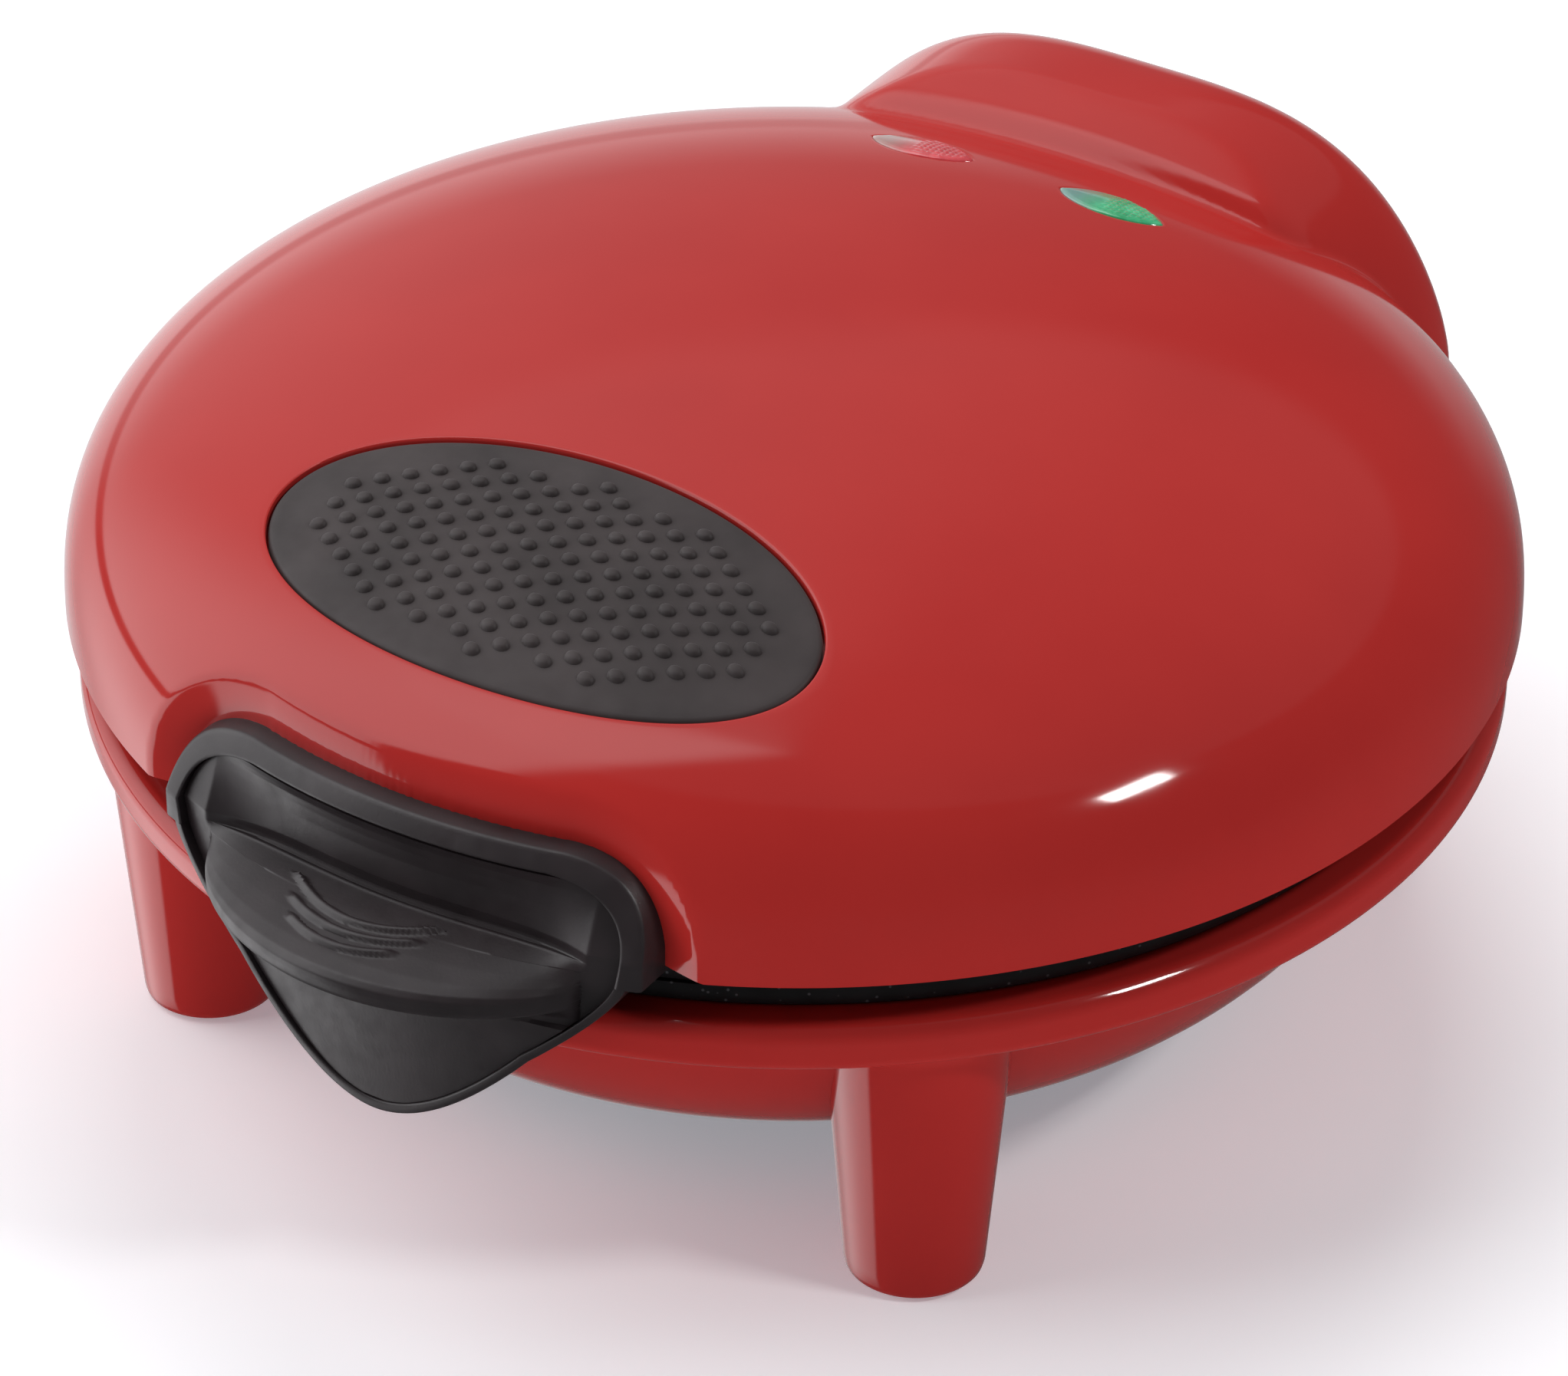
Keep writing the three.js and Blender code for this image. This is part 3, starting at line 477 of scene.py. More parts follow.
def openSeat(points, grid, rows, columns, seat, rings=14):
    # Opens a seat in the polar grid. A window of the grid is dropped and filled by rings that pass from
    # the window's edge to the seat's outline, then by rings that follow the profile: each is the outline
    # drawn in by an inset and set below the dome by a drop. The last ring closes on a middle point.
    centre, half = np.array(seat["centre"]), np.array(seat["half"])
    top, bottom = np.arange(columns[0], columns[1]), np.arange(columns[1], columns[0], -1)
    edge = np.concatenate([grid[rows[0], top], grid[rows[0]:rows[1], columns[1]],
                           grid[rows[1], bottom], grid[rows[1]:rows[0]:-1, columns[0]]])
    outer = points[edge, :2] - centre
    outline = outer / seat["share"](outer[:, 0], outer[:, 1], half)[:, None]
    flats = [(outer * (1 - t) + outline * t, 0) for t in np.linspace(0, 1, rings + 1)[1:]]
    shrink = [(half - inset * np.array(seat["pinch"])) / half for inset, _ in seat["profile"]]
    flats += [(outline * share, drop) for share, (_, drop) in zip(shrink, seat["profile"])]
    lowest = seat["profile"][-1][1]
    flats += [(outline * shrink[-1] * t, lowest) for t in (0.66, 0.33)]
    layers = [np.column_stack([flat + centre, domeHeight(*(flat + centre).T) - drop]) for flat, drop in flats]
    first, size = len(points), len(edge)
    middle = [*centre, domeHeight(*centre) - lowest]
    j = np.arange(size)
    k = (j + 1) % size
    faces = [np.stack([edge, edge[k], first + k, first + j], -1),
             ringFaces(len(layers), size, first),
             fanFaces(first + (len(layers) - 1) * size + j, first + len(layers) * size)]
    return np.vstack([points, *layers, middle]), faces


def windowOf(angles, radii, seat):
    # rows and columns of the polar grid that hold a seat with room round it
    middle = math.atan2(*seat["centre"][::-1])
    turn = np.angle(np.exp(1j * (angles - middle)))
    inside = np.nonzero(np.abs(turn) < seat["turn"])[0]
    r = np.hypot(*seat["centre"])
    rows = np.nonzero((radii < r + seat["outward"]) & (radii > r - seat["inward"]))[0]
    return (rows[0], rows[-1]), (inside[0], inside[-1])


def lidSeats():
    # the pad's oval and the two almonds, with how far each one's window reaches over the grid
    padHalf = (pad["half"][0] + 0.5, pad["half"][1] + 0.5)
    padDepth = pad["sunk"] + pad["thickness"] + 0.3
    seats = [{"centre": (0, pad["y"]), "half": padHalf, "share": padShare, "pinch": (1, 1),
              "profile": [(0.12, 0.02), (0.34, 0.16), (0.45, 0.5), (0.5, 1.2), (0.5, padDepth)],
              "turn": 0.80, "outward": 28.5, "inward": 27}]
    for side in (-1, 1):
        seats.append({"centre": (side * lens["x"], lens["y"]), "half": lens["half"], "share": lensShare,
                      "pinch": (1.5, 1), "turn": 0.19, "outward": 6.6, "inward": 7.4,
                      "profile": [(0.15, 0.03), (0.3, 0.18), (0.38, 0.5), (0.4, lens["seatDrop"])]})
    return seats


def buildLid():
    # outside: a polar grid over the dome cast onto the joined surface, with the handle's recess, the
    # hump's crescent and the three seats. Inside: a coarser grid of the same columns, one wall in.
    angles, (radii, heights) = lidColumns(), lidRadii(0, lid["rings"])
    across = np.stack([np.cos(angles), np.sin(angles)], -1)
    count = len(angles)
    base = stackRings(radii, heights, across).reshape(-1, 3)
    points = recessHandle(castLid(base, 0, lid["blend"]))
    grid = np.arange(len(points)).reshape(len(radii), count)
    quads = ringFaces(len(radii), count).reshape(len(radii) - 1, count, 4)
    keep = np.ones((len(radii) - 1, count), bool)
    faces = []
    for seat in lidSeats():
        rows, columns = windowOf(angles, radii, seat)
        keep[rows[0]:rows[1], columns[0]:columns[1]] = False
        points, extra = openSeat(points, grid, rows, columns, seat)
        faces.extend(extra)
    faces.append(quads[keep])
    faces.append(fanFaces(grid[-1], len(points)))
    points = np.vstack([points, [0, 0, lid["top"]]])
    inner, innerHeights = lidRadii(lid["wall"], lid["innerRings"])
    inside = castLid(stackRings(inner, innerHeights, across).reshape(-1, 3), lid["wall"], lid["innerBlend"])
    inside[:, :2] *= np.where(inside[:, 1:2] < lid["innerFrontY"], lid["innerFrontShare"], 1)
    first = len(points)
    eased = (np.abs(inside[:, 0]) < lid["easeHalf"]) & (inside[:, 1] > lid["easeFromY"])
    eased &= inside[:, 2] < lid["edge"] + lid["easeHeight"]
    inside[eased, 1] += lid["easeDepth"]
    lipIn = np.column_stack([inside[:count, :2], np.full(count, lid["edge"])])
    points = np.vstack([points, lipIn, inside, [0, 0, lid["top"] - lid["wall"]]])
    j = np.arange(count)
    faces.append(np.stack([grid[0], first + j, first + (j + 1) % count, np.roll(grid[0], -1)], -1))
    faces.append(ringFaces(1 + len(inner), count, first, True))
    faces.append(fanFaces(first + len(inner) * count + j, len(points) - 1, True))
    return makePiece("lidMoulding", points, faces, "lid", "red_plastic", ["lid_shell"], 40)


lidPiece = buildLid()
print("lid made:", len(lidPiece.data.polygons), "faces")


bumps = {
    "stepX": 7.0, "stepY": 4.3, "half": (1.4, 1.0), "height": 0.8, "margin": (6.2, 4.4), "sides": 14,
    "steps": (1.0, 0.96, 0.82, 0.5), "sunk": 0.05,
}


def buildPad():
    # ellipse rings over the dome, rolled down at the rim and closed underneath, with low oval studs on a
    # diamond lattice: each stud's height is its full height times one less s to the sixth
    count = 220
    around = unitCircle(count)
    half = np.array(pad["half"]) - pad["gap"]
    r, deep = pad["edgeRound"], -pad["thickness"]
    profile = [(1.2, deep), (0, deep), (0, -r), (0.12 * r, -0.45 * r), (0.45 * r, -0.12 * r), (r, 0)]
    profile += [(inset, 0) for inset in np.linspace(1.6, half[1] - 1.5, 16)]
    rings = []
    for inset, lift in profile:
        insetX = inset * (half[0] / half[1] if inset > 2 else 1)
        flat = (half - [insetX, inset]) * around + [0, pad["y"]]
        rings.append(np.column_stack([flat, domeHeight(*flat.T) - pad["sunk"] + lift]))
    crown = domeHeight(0, pad["y"]) - pad["sunk"]
    points = np.vstack([*rings, [0, pad["y"], crown], [0, pad["y"], crown + deep]])
    j = np.arange(count)
    faces = [ringFaces(len(rings), count), fanFaces(j + (len(rings) - 1) * count, len(points) - 2),
             fanFaces(j, len(points) - 1, True)]
    i, k = np.meshgrid(np.arange(-8, 9), np.arange(-12, 13), indexing="ij")
    spots = np.stack([(i + 0.5 * (k % 2)) * bumps["stepX"], k * bumps["stepY"] / 2], -1).reshape(-1, 2)
    spots = spots[np.hypot(*(spots / (half - bumps["margin"])).T) < 1]
    steps, sides = np.array(bumps["steps"]), bumps["sides"]
    shape = stackRings(steps, bumps["height"] * (1 - steps ** 6) - bumps["sunk"], unitCircle(sides))
    shape[..., :2] *= bumps["half"]
    shape = np.vstack([shape.reshape(-1, 3), [0, 0, bumps["height"] - bumps["sunk"]]])
    flat = spots[:, None, :] + shape[None, :, :2] + [0, pad["y"]]
    height = domeHeight(flat[..., 0], flat[..., 1]) - pad["sunk"] + shape[None, :, 2]
    domes = np.concatenate([flat, height[..., None]], -1).reshape(-1, 3)
    first = len(points) + np.arange(len(spots))[:, None, None] * len(shape)
    faces.append((ringFaces(len(steps), sides)[None] + first).reshape(-1, 4))
    tops = np.arange(sides) + (len(steps) - 1) * sides
    faces.append((fanFaces(tops, len(steps) * sides)[None] + first).reshape(-1, 3))
    print("pad bumps:", len(spots))
    return makePiece("touchPad", np.vstack([points, domes]), faces, "lid", "soft_rubber", ["top_pad"])


buildPad()


prisms = {"pitch": 1.0, "height": 0.16, "start": (-1.5, 1.0), "crown": 0.3, "rim": 0.26, "depth": 2.3}


def buildLens(name, node, side, slot):
    # almond rings rolled down at the rim; the crown stands a little proud, and square pyramids of the
    # prism grid, the product of two triangle waves, cover the +X end
    count = 120
    half = np.array(lens["half"]) - lens["gap"]
    way = unitCircle(count) * half
    outline = way / lensShare(way[:, 0], way[:, 1], half)[:, None]
    centre = np.array([side * lens["x"], lens["y"]])
    rim, crown, depth = prisms["rim"], prisms["crown"], prisms["depth"]
    rings = [(0.9, -depth), (1, -depth), (1, -0.25), (0.985, 0.0), (0.95, 0.15), (0.9, rim)]
    rings += [(share, rim + crown * (1 - share ** 2)) for share in np.linspace(0.86, 0.03, 44)]
    layers = []
    for share, lift in rings:
        flat = outline * share
        u, v = (flat / prisms["pitch"]).T
        wave = (1 - np.abs(2 * (u % 1) - 1)) * (1 - np.abs(2 * (v % 1) - 1))
        cover = smoothStep(flat[:, 0], *prisms["start"]) * (share < 0.9)
        flat = flat + centre
        layers.append(np.column_stack([flat, domeHeight(*flat.T) + lift + prisms["height"] * wave * cover]))
    top = [*centre, domeHeight(*centre) + rim + crown]
    bottom = [*centre, domeHeight(*centre) - depth]
    points = np.vstack([*layers, top, bottom])
    j = np.arange(count)
    faces = [ringFaces(len(rings), count), fanFaces(j + (len(rings) - 1) * count, len(points) - 2),
             fanFaces(j, len(points) - 1, True)]
    return makePiece(name, points, faces, "lid", slot, [node], 60)


buildLens("powerLens", "power_lens", -1, "red_lens")
buildLens("readyLens", "ready_lens", 1, "green_lens")
print("lenses made")


grip = {
    # plain height on the panel, height on the lip, and how far forward of the panel
    "path": [(74.2, 74.2, -0.1), (73.4, 73.4, -1.0), (72.4, 72.4, -2.0), (71, 71, -2.9), (69, 69, -4.0),
             (67, 66.8, -5.0), (65.2, 64.8, -5.9), (64.2, 63.4, -6.1), (63.6, 62.8, -5.9), (63.4, 62.8, -5.4),
             (63.3, 63.4, -4.6), (63.2, 63.5, -4.3), (63.1, 63.3, -3.9), (62.0, 62.7, 0.2), (61.0, 62.0, 4.3),
             (60.1, 61.2, 8.0), (59.4, 60.4, 10.5), (58.9, 59.6, 11.4), (58.3, 58.6, 11.5),
             (57.7, 57.6, 11.4), (57.3, 56.9, 11.1), (56.9, 56.5, 10.4), (56.4, 56.3, 8.4), (55.4, 55.9, 4.8),
             (54.4, 55.4, 1.8), (53.8, 54.7, 0.4), (52, 52.6, -0.1), (49, 49, -0.3), (45, 45, -0.45),
             (41, 41, -0.45), (38, 38, -0.35), (35.5, 35.5, -0.2), (33, 33, -0.05), (31.95, 31.95, 0.0)],
    "lipHalf": 31.0, "scoopHalf": 32.0, "fade": 1.2, "rows": 250, "columns": 150, "thickness": 1.2,
    # how rows and columns crowd, where the ridge starts, and the shallow hollow beside the scoop
    "crowdAbove": 55, "crowdBelow": 0.35, "crowdSide": 0.96, "hollow": 1.3, "hollowZ": 60, "hollowHalf": 16,
    # each rib: half-width, its middle's place in front of the plates' centre, and its sag
    "ribs": [(12.3, -111.6, 4.7), (10.3, -113.9, 2.9), (8.3, -116.5, 2.2)], "ribHalf": 0.65, "ribHeight": 0.7,
    "ribX": -1.5, "ribEnd": 0.6, "ribLowest": 59.5,
}


def wrapFront(x, z, depth):
    # a place on the handle's front view carried back to its round face
    r = handleFace(z) - depth
    return np.stack([x, -np.sqrt(np.maximum(r ** 2 - x ** 2, 1)), z], -1)


def buildSurround():
    # rings from the back of the block, round its outer corner, over the flat frame and down into the
    # seam; each ring is a share of the way from the outer outline to the inner one, at a depth. The last
    # ring joins the first, so that the frame is open in its middle.
    outer, inner = handleOutline(0, True), handleOutline(handle["frame"], False)
    backDepth = np.where(outer[:, 1] > handle["shelf"] - 0.1, handle["block"], handle["tongue"])
    profile = [(0, 0.48), (0.03, 0.216), (0.09, 0.072), (0.2, 0), (0.82, 0), (0.93, 0.072),
               (0.985, 0.24), (1, 0.78), (1, 2.34)]
    rings = [wrapFront(*outer.T, backDepth)]
    for share, depth in profile:
        rings.append(wrapFront(*(outer * (1 - share) + inner * share).T, depth))
    rings.append(wrapFront(*inner.T, backDepth - 0.05))
    count, last = len(outer), (len(rings) - 1) * len(outer)
    j = np.arange(count)
    k = (j + 1) % count
    faces = [ringFaces(len(rings), count), np.stack([last + j, last + k, k, j], -1)]
    points = np.vstack(rings)
    return makePiece("handleSurround", points, faces, "lid", "black_plastic", ["handle_surround"], 45)


def gripHalfAt(z):
    # half-width of the panel at a height, read off its outline
    outline = handleOutline(handle["frame"] + handle["seam"], False)
    right = outline[: len(outline) // 2 + 1]
    order = np.argsort(right[:, 1], kind="stable")
    return np.interp(z, right[order, 1], right[order, 0])


def buildGrip():
    # section path from the top edge down the finger scoop, over the ridge, round the lip and down the
    # tongue, carried across the panel: the lip's reach fades as a power of 1 - (x / lipHalf) ** 2
    path = np.array(grip["path"], float)
    closer = np.where(path[1:, 0] > grip["crowdAbove"], 1.0, grip["crowdBelow"])
    along = np.r_[0, np.cumsum(closer * np.hypot(np.diff(path[:, 1]), np.diff(path[:, 2])) + 0.25)]
    v = np.linspace(0, along[-1], grip["rows"])
    plain, lipZ, push = (np.interp(v, along, path[:, k]) for k in range(3))
    for values in (plain, lipZ, push):
        values[1:-1] = np.convolve(values, (0.25, 0.5, 0.25), "valid")
    widest = np.pi / 2 * grip["crowdSide"]
    u = np.sin(np.linspace(-1, 1, grip["columns"]) * widest) / math.sin(widest)
    x = gripHalfAt(plain)[:, None] * u
    plain, lipZ, push = (values[:, None] + 0 * x for values in (plain, lipZ, push))
    reach = np.clip(1 - (x / grip["lipHalf"]) ** 2, 0, 1) ** (grip["fade"] / 2)
    scoop = np.clip(1 - (x / grip["scoopHalf"]) ** 4, 0, 1)
    beside = -grip["hollow"] * np.clip(1 - ((plain - grip["hollowZ"]) / grip["hollowHalf"]) ** 2, 0, 1)
    share = np.where(push > 0, reach, np.where(plain > grip["crowdAbove"], scoop, 1))
    forward = beside + (push - beside) * share
    points = wrapFront(x, plain + reach * (lipZ - plain), handle["inlay"] - forward)
    rib = np.zeros_like(x)
    across = points[..., 0] - grip["ribX"]
    for half, middle, sag in grip["ribs"]:
        line = middle + sag * (across / half) ** 2
        ends = smoothStep(half - np.abs(across), -grip["ribEnd"], grip["ribEnd"])
        height = np.clip(1 - ((points[..., 1] - line) / grip["ribHalf"]) ** 2, 0, 1) * ends
        rib = np.maximum(rib, np.sqrt(height))
    points[..., 2] += grip["ribHeight"] * rib * (push > -2) * (lipZ > grip["ribLowest"])
    rows, columns = x.shape
    i, j = np.meshgrid(np.arange(rows - 1), np.arange(columns - 1), indexing="ij")
    first = i * columns + j
    quads = np.stack([first, first + columns, first + columns + 1, first + 1], -1).reshape(-1, 4)
    back = wrapFront(x, plain, handle["inlay"] - np.minimum(forward, 0) + grip["thickness"])
    back[..., 1] = np.maximum(back[..., 1], points[..., 1] + grip["thickness"])
    size, low = rows * columns, (rows - 1) * columns
    rim = np.concatenate([np.arange(columns), np.arange(1, rows) * columns + columns - 1,
                          np.arange(columns - 2, -1, -1) + low, np.arange(rows - 2, 0, -1) * columns])
    wall = np.stack([rim, np.roll(rim, -1), np.roll(rim, -1) + size, rim + size], -1)
    points = np.vstack([points.reshape(-1, 3), back.reshape(-1, 3)])
    faces = [quads, quads[:, ::-1] + size, wall]
    return makePiece("handleGrip", points, faces, "lid", "black_plastic", ["handle_grip"], 45)


buildSurround()
buildGrip()
print("handle made")


baseLow, baseHigh = boxOf("base_shell")
rimRadius = baseHigh[0]
base = {
    "rimTop": parting - 3.5, "rimLow": parting - 11.0, "bowlTop": rimRadius - 9, "bottomRadius": 72,
    "bottom": 14.6, "seat": 96, "coverRadius": 69.3, "wall": 2.5, "swell": (8, 5),
    "legX": 62, "legY": 65.5, "legFoot": 10.2, "legTop": 13.9, "legLow": baseLow[2], "fillet": 1.6,
}


# front left, front right, rear right, rear left
corners = ((-1, -1), (1, -1), (1, 1), (-1, 1))


def bowlRadius(z):
    # the bowl's outside: a quadratic curve from the bottom's edge out to the rim
    wide, high = base["bowlTop"], base["rimLow"]
    middle = (wide - base["swell"][0], base["bottom"] + base["swell"][1])
    r, h = curve((base["bottomRadius"], base["bottom"]), middle, (wide, high), 59).T
    return np.interp(z, np.append(h, high), np.append(r, wide))


def buildBase():
    # one closed outline carried round: cover opening, bowl, rolled rim, ledge for the plate, inside wall
    low, rimLow, top, wall = base["bottom"], base["rimLow"], base["rimTop"], base["wall"]
    heights = low + (rimLow - low) * np.linspace(0, 1, 14) ** 1.6
    outside = np.column_stack([bowlRadius(heights), heights])
    cover = base["coverRadius"]
    bottom = rounded([(cover, low + 3), (cover, low), (base["bottomRadius"], low), outside[2]], 0.9)
    rim = rounded([outside[-1] - [0, 1.5], (base["bowlTop"], rimLow), (rimRadius - 1.2, rimLow + 0.1),
                   (rimRadius, rimLow + 1.6), (rimRadius, top - 1.8), (rimRadius - 1.9, top),
                   (base["seat"], top), (base["seat"], top - wall)], 1.1, 6)
    inside = outside[::-1] + [-wall, 0.8]
    inside = inside[(inside[:, 1] < top - wall - 1) & (inside[:, 1] > low + 3.2)]
    profile = np.vstack([bottom, outside[3:-2], rim, inside])
    return turnedPiece("baseMoulding", profile, "base", "red_plastic", 256, ["base_shell"], 40)


def buildLegs():
    # tapered round legs: each column of points runs up the cone, flares in a small fillet and ends
    # inside the bowl's wall; the foot's edge is rounded and its hollow holds the pad
    count = 72
    foot, top, low = base["legFoot"], base["legTop"], base["legLow"]
    climb = np.linspace(0, 1, 26)[1:]
    straight = low + 1.3
    heights = np.r_[low + np.array([3, 0.25, 0, 0.12, 0.5]), straight,
                    straight + (base["rimLow"] + 1.2 - straight) * climb]
    fillet = base["fillet"] * np.clip((climb - 0.95) / 0.05, 0, 1) ** 2
    sizes = np.r_[7.5, 7.5, 8.1, foot - 0.75, foot - 0.2, foot, foot + (top - foot) * climb + fillet]
    rings = stackRings(sizes, heights, unitCircle(count)).reshape(-1, 3)
    leg = np.vstack([rings, [0, 0, heights[0]], [0, 0, heights[-1]]])
    j = np.arange(count)
    faces = [ringFaces(len(sizes), count), fanFaces(j, len(leg) - 2, True),
             fanFaces(j + (len(sizes) - 1) * count, len(leg) - 1)]
    names = ["legFrontLeft", "legFrontRight", "legRearRight", "legRearLeft"]
    for name, (sx, sy) in zip(names, corners):
        makePiece(name, leg + [sx * base["legX"], sy * base["legY"], 0], faces, "base", "red_plastic")


def alongX(x):
    # turns a piece made about Z so that it lies along X on the hinge's axis
    return lambda p: np.column_stack([p[:, 2] + x, p[:, 1] + hingePoint[1], -p[:, 0] + hingePoint[2]])


hinge = {"radius": 5.5, "knuckleHalf": 20.0, "ear": 9.0, "gap": 0.3, "pin": 2.0}


def buildHinge():
    # barrels with rounded ends: the base's long knuckle between the lid's two ears, and the pin's heads
    def barrel(name, x, half, body):
        r = hinge["radius"]
        profile = rounded([(0, -half), (r, -half), (r, half), (0, half)], 0.6)
        turnedPiece(name, profile, body, "red_plastic", 64, move=alongX(x))

    def web(name, x, half, body, low, high, front, back):
        # a flat plate with rounded upright edges that ties a barrel to its moulding
        side = rounded([(x, front), (x + half, front), (x + half, back), (x, back)], 0.8)[1:-1]
        loop = np.vstack([side, (side * [-1, 1] + [2 * x, 0])[::-1]])
        count = len(loop)
        points = stackRings((1, 1), (low, high), loop).reshape(-1, 3)
        points = np.vstack([points, [x, (front + back) / 2, low], [x, (front + back) / 2, high]])
        j = np.arange(count)
        faces = [ringFaces(2, count), fanFaces(j, 2 * count, True), fanFaces(j + count, 2 * count + 1)]
        makePiece(name, points, faces, body, "red_plastic")

    half, ear, r = hinge["knuckleHalf"], hinge["ear"], hinge["radius"]
    y, z = hingePoint[1], hingePoint[2]
    barrel("hingeKnuckle", 0, half, "base")
    web("knuckleNeck", 0, half, "base", base["rimLow"] + 0.5, z, y - r + 0.3, y)
    for name, side in (("hingeEarLeft", -1), ("hingeEarRight", 1)):
        x = side * (half + hinge["gap"] + ear / 2)
        barrel(name, x, ear / 2, "lid")
        web(name + "Web", x, ear / 2, "lid", z, z + 14, y - r + 0.2, y + r - 1.6)
    ends = half + ear
    pin = rounded([(0, -ends), (hinge["pin"], -ends), (hinge["pin"], ends), (0, ends)], 0.5)
    turnedPiece("hingePin", pin, "base", "steel", 32, ["hinge_pin"], move=alongX(0))


buildBase()
buildLegs()
buildHinge()
print("base and hinge made")


cups = {"ring": 17.5, "width": 22.0, "depth": 9.0, "pitch": 63.0, "outer": 6, "lip": 0.6, "lipDrop": 0.12}
plate = {"radius": boxOf("lower_plate")[1][0], "thickness": 3.0, "round": 0.8, "skirt": 9.2}


def cupCentres():
    return np.vstack([[0, 0], cups["pitch"] * unitCircle(cups["outer"])])


def cupDrop(rho):
    # half a doughnut: depth times the root of 1 - ((rho - ring) / half width) ** 2, softened at its lips
    share = np.clip(1 - ((rho - cups["ring"]) / (cups["width"] / 2)) ** 2, 0, 1)
    return cups["depth"] * np.sqrt(share)


def buildPlate(name, node, body, face, way):
    # flat web with a round hole for each cup, found by a constrained triangulation, then rings of each
    # cup from its lip to its boss; way is 1 for the lower plate, whose cups go down, and -1 for the upper
    count, rimCount = 96, 256
    circle, rimCircle = unitCircle(count), unitCircle(rimCount)
    centres = cupCentres()
    radius, under, flatRadius = plate["radius"], -plate["thickness"], plate["radius"] - plate["round"]
    ring, halfWidth = cups["ring"], cups["width"] / 2
    lipOut = ring + halfWidth + cups["lip"]
    loops = [flatRadius * rimCircle] + [c + lipOut * circle for c in centres]
    edges, start = [], 0
    for loop in loops:
        edges += [(start + i, start + (i + 1) % len(loop)) for i in range(len(loop))]
        start += len(loop)
    found = delaunay_2d_cdt([Vector(p) for p in np.vstack(loops).tolist()], edges, [], 0, 1e-6)
    webPoints, triangles = np.array([tuple(p) for p in found[0]]), np.array([list(f) for f in found[2]])
    middle = webPoints[triangles].mean(1)
    clear = np.hypot(*(middle[:, None] - centres[None]).transpose(2, 0, 1)).min(1) > lipOut - 0.01
    clear &= np.hypot(*middle.T) < flatRadius
    points = [np.column_stack([webPoints, np.zeros(len(webPoints))])]
    faces = [triangles[clear]]
    total = len(webPoints)
    theta = np.linspace(0, np.pi, 26)[1:-1]
    rho = np.r_[lipOut, ring + halfWidth + 0.25, ring + halfWidth * np.cos(theta),
                ring - halfWidth - 0.25, ring - halfWidth - cups["lip"]]
    drop = cupDrop(rho)
    drop[1] = drop[-2] = cups["lipDrop"]
    cup = stackRings(rho, -drop, circle).reshape(-1, 3)
    last = (len(rho) - 1) * count
    for c in centres:
        points.append(np.vstack([cup + [*c, 0], [*c, 0]]))
        faces.append(ringFaces(len(rho), count, total))
        faces.append(fanFaces(np.arange(count) + last + total, len(rho) * count + total))
        total += len(rho) * count + 1
    side = [(flatRadius, 0), (radius - 0.25, -0.15), (radius, -0.8), (radius, under + 0.4),
            (radius - 0.4, under), (radius - 6, under)]
    side += [(r, under - plate["skirt"]) for r in (radius - 7, 60, 20)]
    points.append(stackRings(*np.transpose(side), rimCircle).reshape(-1, 3))
    points.append([[0, 0, side[-1][1]]])
    faces.append(ringFaces(len(side), rimCount, total, True))
    last = (len(side) - 1) * rimCount
    faces.append(fanFaces(np.arange(rimCount) + last + total, total + len(side) * rimCount, True))
    points = np.vstack(points) * [1, 1, way] + [0, 0, face]
    if way < 0:
        faces = [block[:, ::-1] for block in faces]
    return makePiece(name, points, faces, body, "non_stick", [node], 35)


buildPlate("lowerPlate", "lower_plate", "base", boxOf("lower_plate")[1][2], 1)
buildPlate("upperPlate", "upper_plate", "lid", boxOf("upper_plate")[0][2], -1)
print("plates made")


small = {
    "padRadius": 7.2, "padHeight": 2.4, "bore": 3.7, "neck": 6.5, "flange": 8.5, "flangeDepth": 3.0,
    "screwShort": 3.5, "headHeight": 1.6, "shankShare": 0.52,
}


def buildSmall():
    # foot pads and cable gland, each an outline with rounded corners carried round
    radius, height = small["padRadius"], small["padHeight"]
    foot = rounded([(0, 0), (radius, 0), (radius, height), (0, height)], 0.5)
    for index, (sx, sy) in enumerate(corners, 1):
        shift = np.array([sx * base["legX"], sy * base["legY"], 0])
        turnedPiece("footPad" + str(index), foot, "base", "soft_rubber", 48, ["foot_pad_" + str(index)],
                    move=lambda p, shift=shift: p + shift)
    low, high = boxOf("cable_gland")
    front, back = low[1], high[1]
    bore, neck, flange, wall = small["bore"], small["neck"], small["flange"], back - small["flangeDepth"]
    gland = rounded([(bore, front + 1), (bore, front), (neck, front), (neck, wall), (flange, wall),
                     (flange, back), (bore, back), (bore, back - 1)], 0.6)
    middleZ = (low[2] + high[2]) / 2
    turnedPiece("cableGland", gland, "base", "soft_rubber", 64, ["cable_gland"],
                move=lambda p: np.column_stack([p[:, 0], p[:, 2], -p[:, 1] + middleZ]))


def buildHandleScrews():
    # pan head inside the lid and a shank that stops behind the panel's hollow
    for index in (1, 2):
        node = "handle_screw_" + str(index)
        low, high = boxOf(node)
        middle, head = (low + high) / 2, (high[0] - low[0]) / 2
        length, shank = high[1] - low[1] - small["screwShort"], head * small["shankShare"]
        tall = small["headHeight"]
        screw = rounded([(0, 0), (head, 0), (head, tall), (shank, tall), (shank, length), (0, length)], 0.4)

        def move(p, middle=middle, back=high[1]):
            return np.column_stack([p[:, 0] + middle[0], back - p[:, 2], p[:, 1] + middle[2]])

        turnedPiece("handleScrew" + str(index), screw, "lid", "steel", 32, [node], move=move)


buildSmall()
buildHandleScrews()
print("small pieces made")


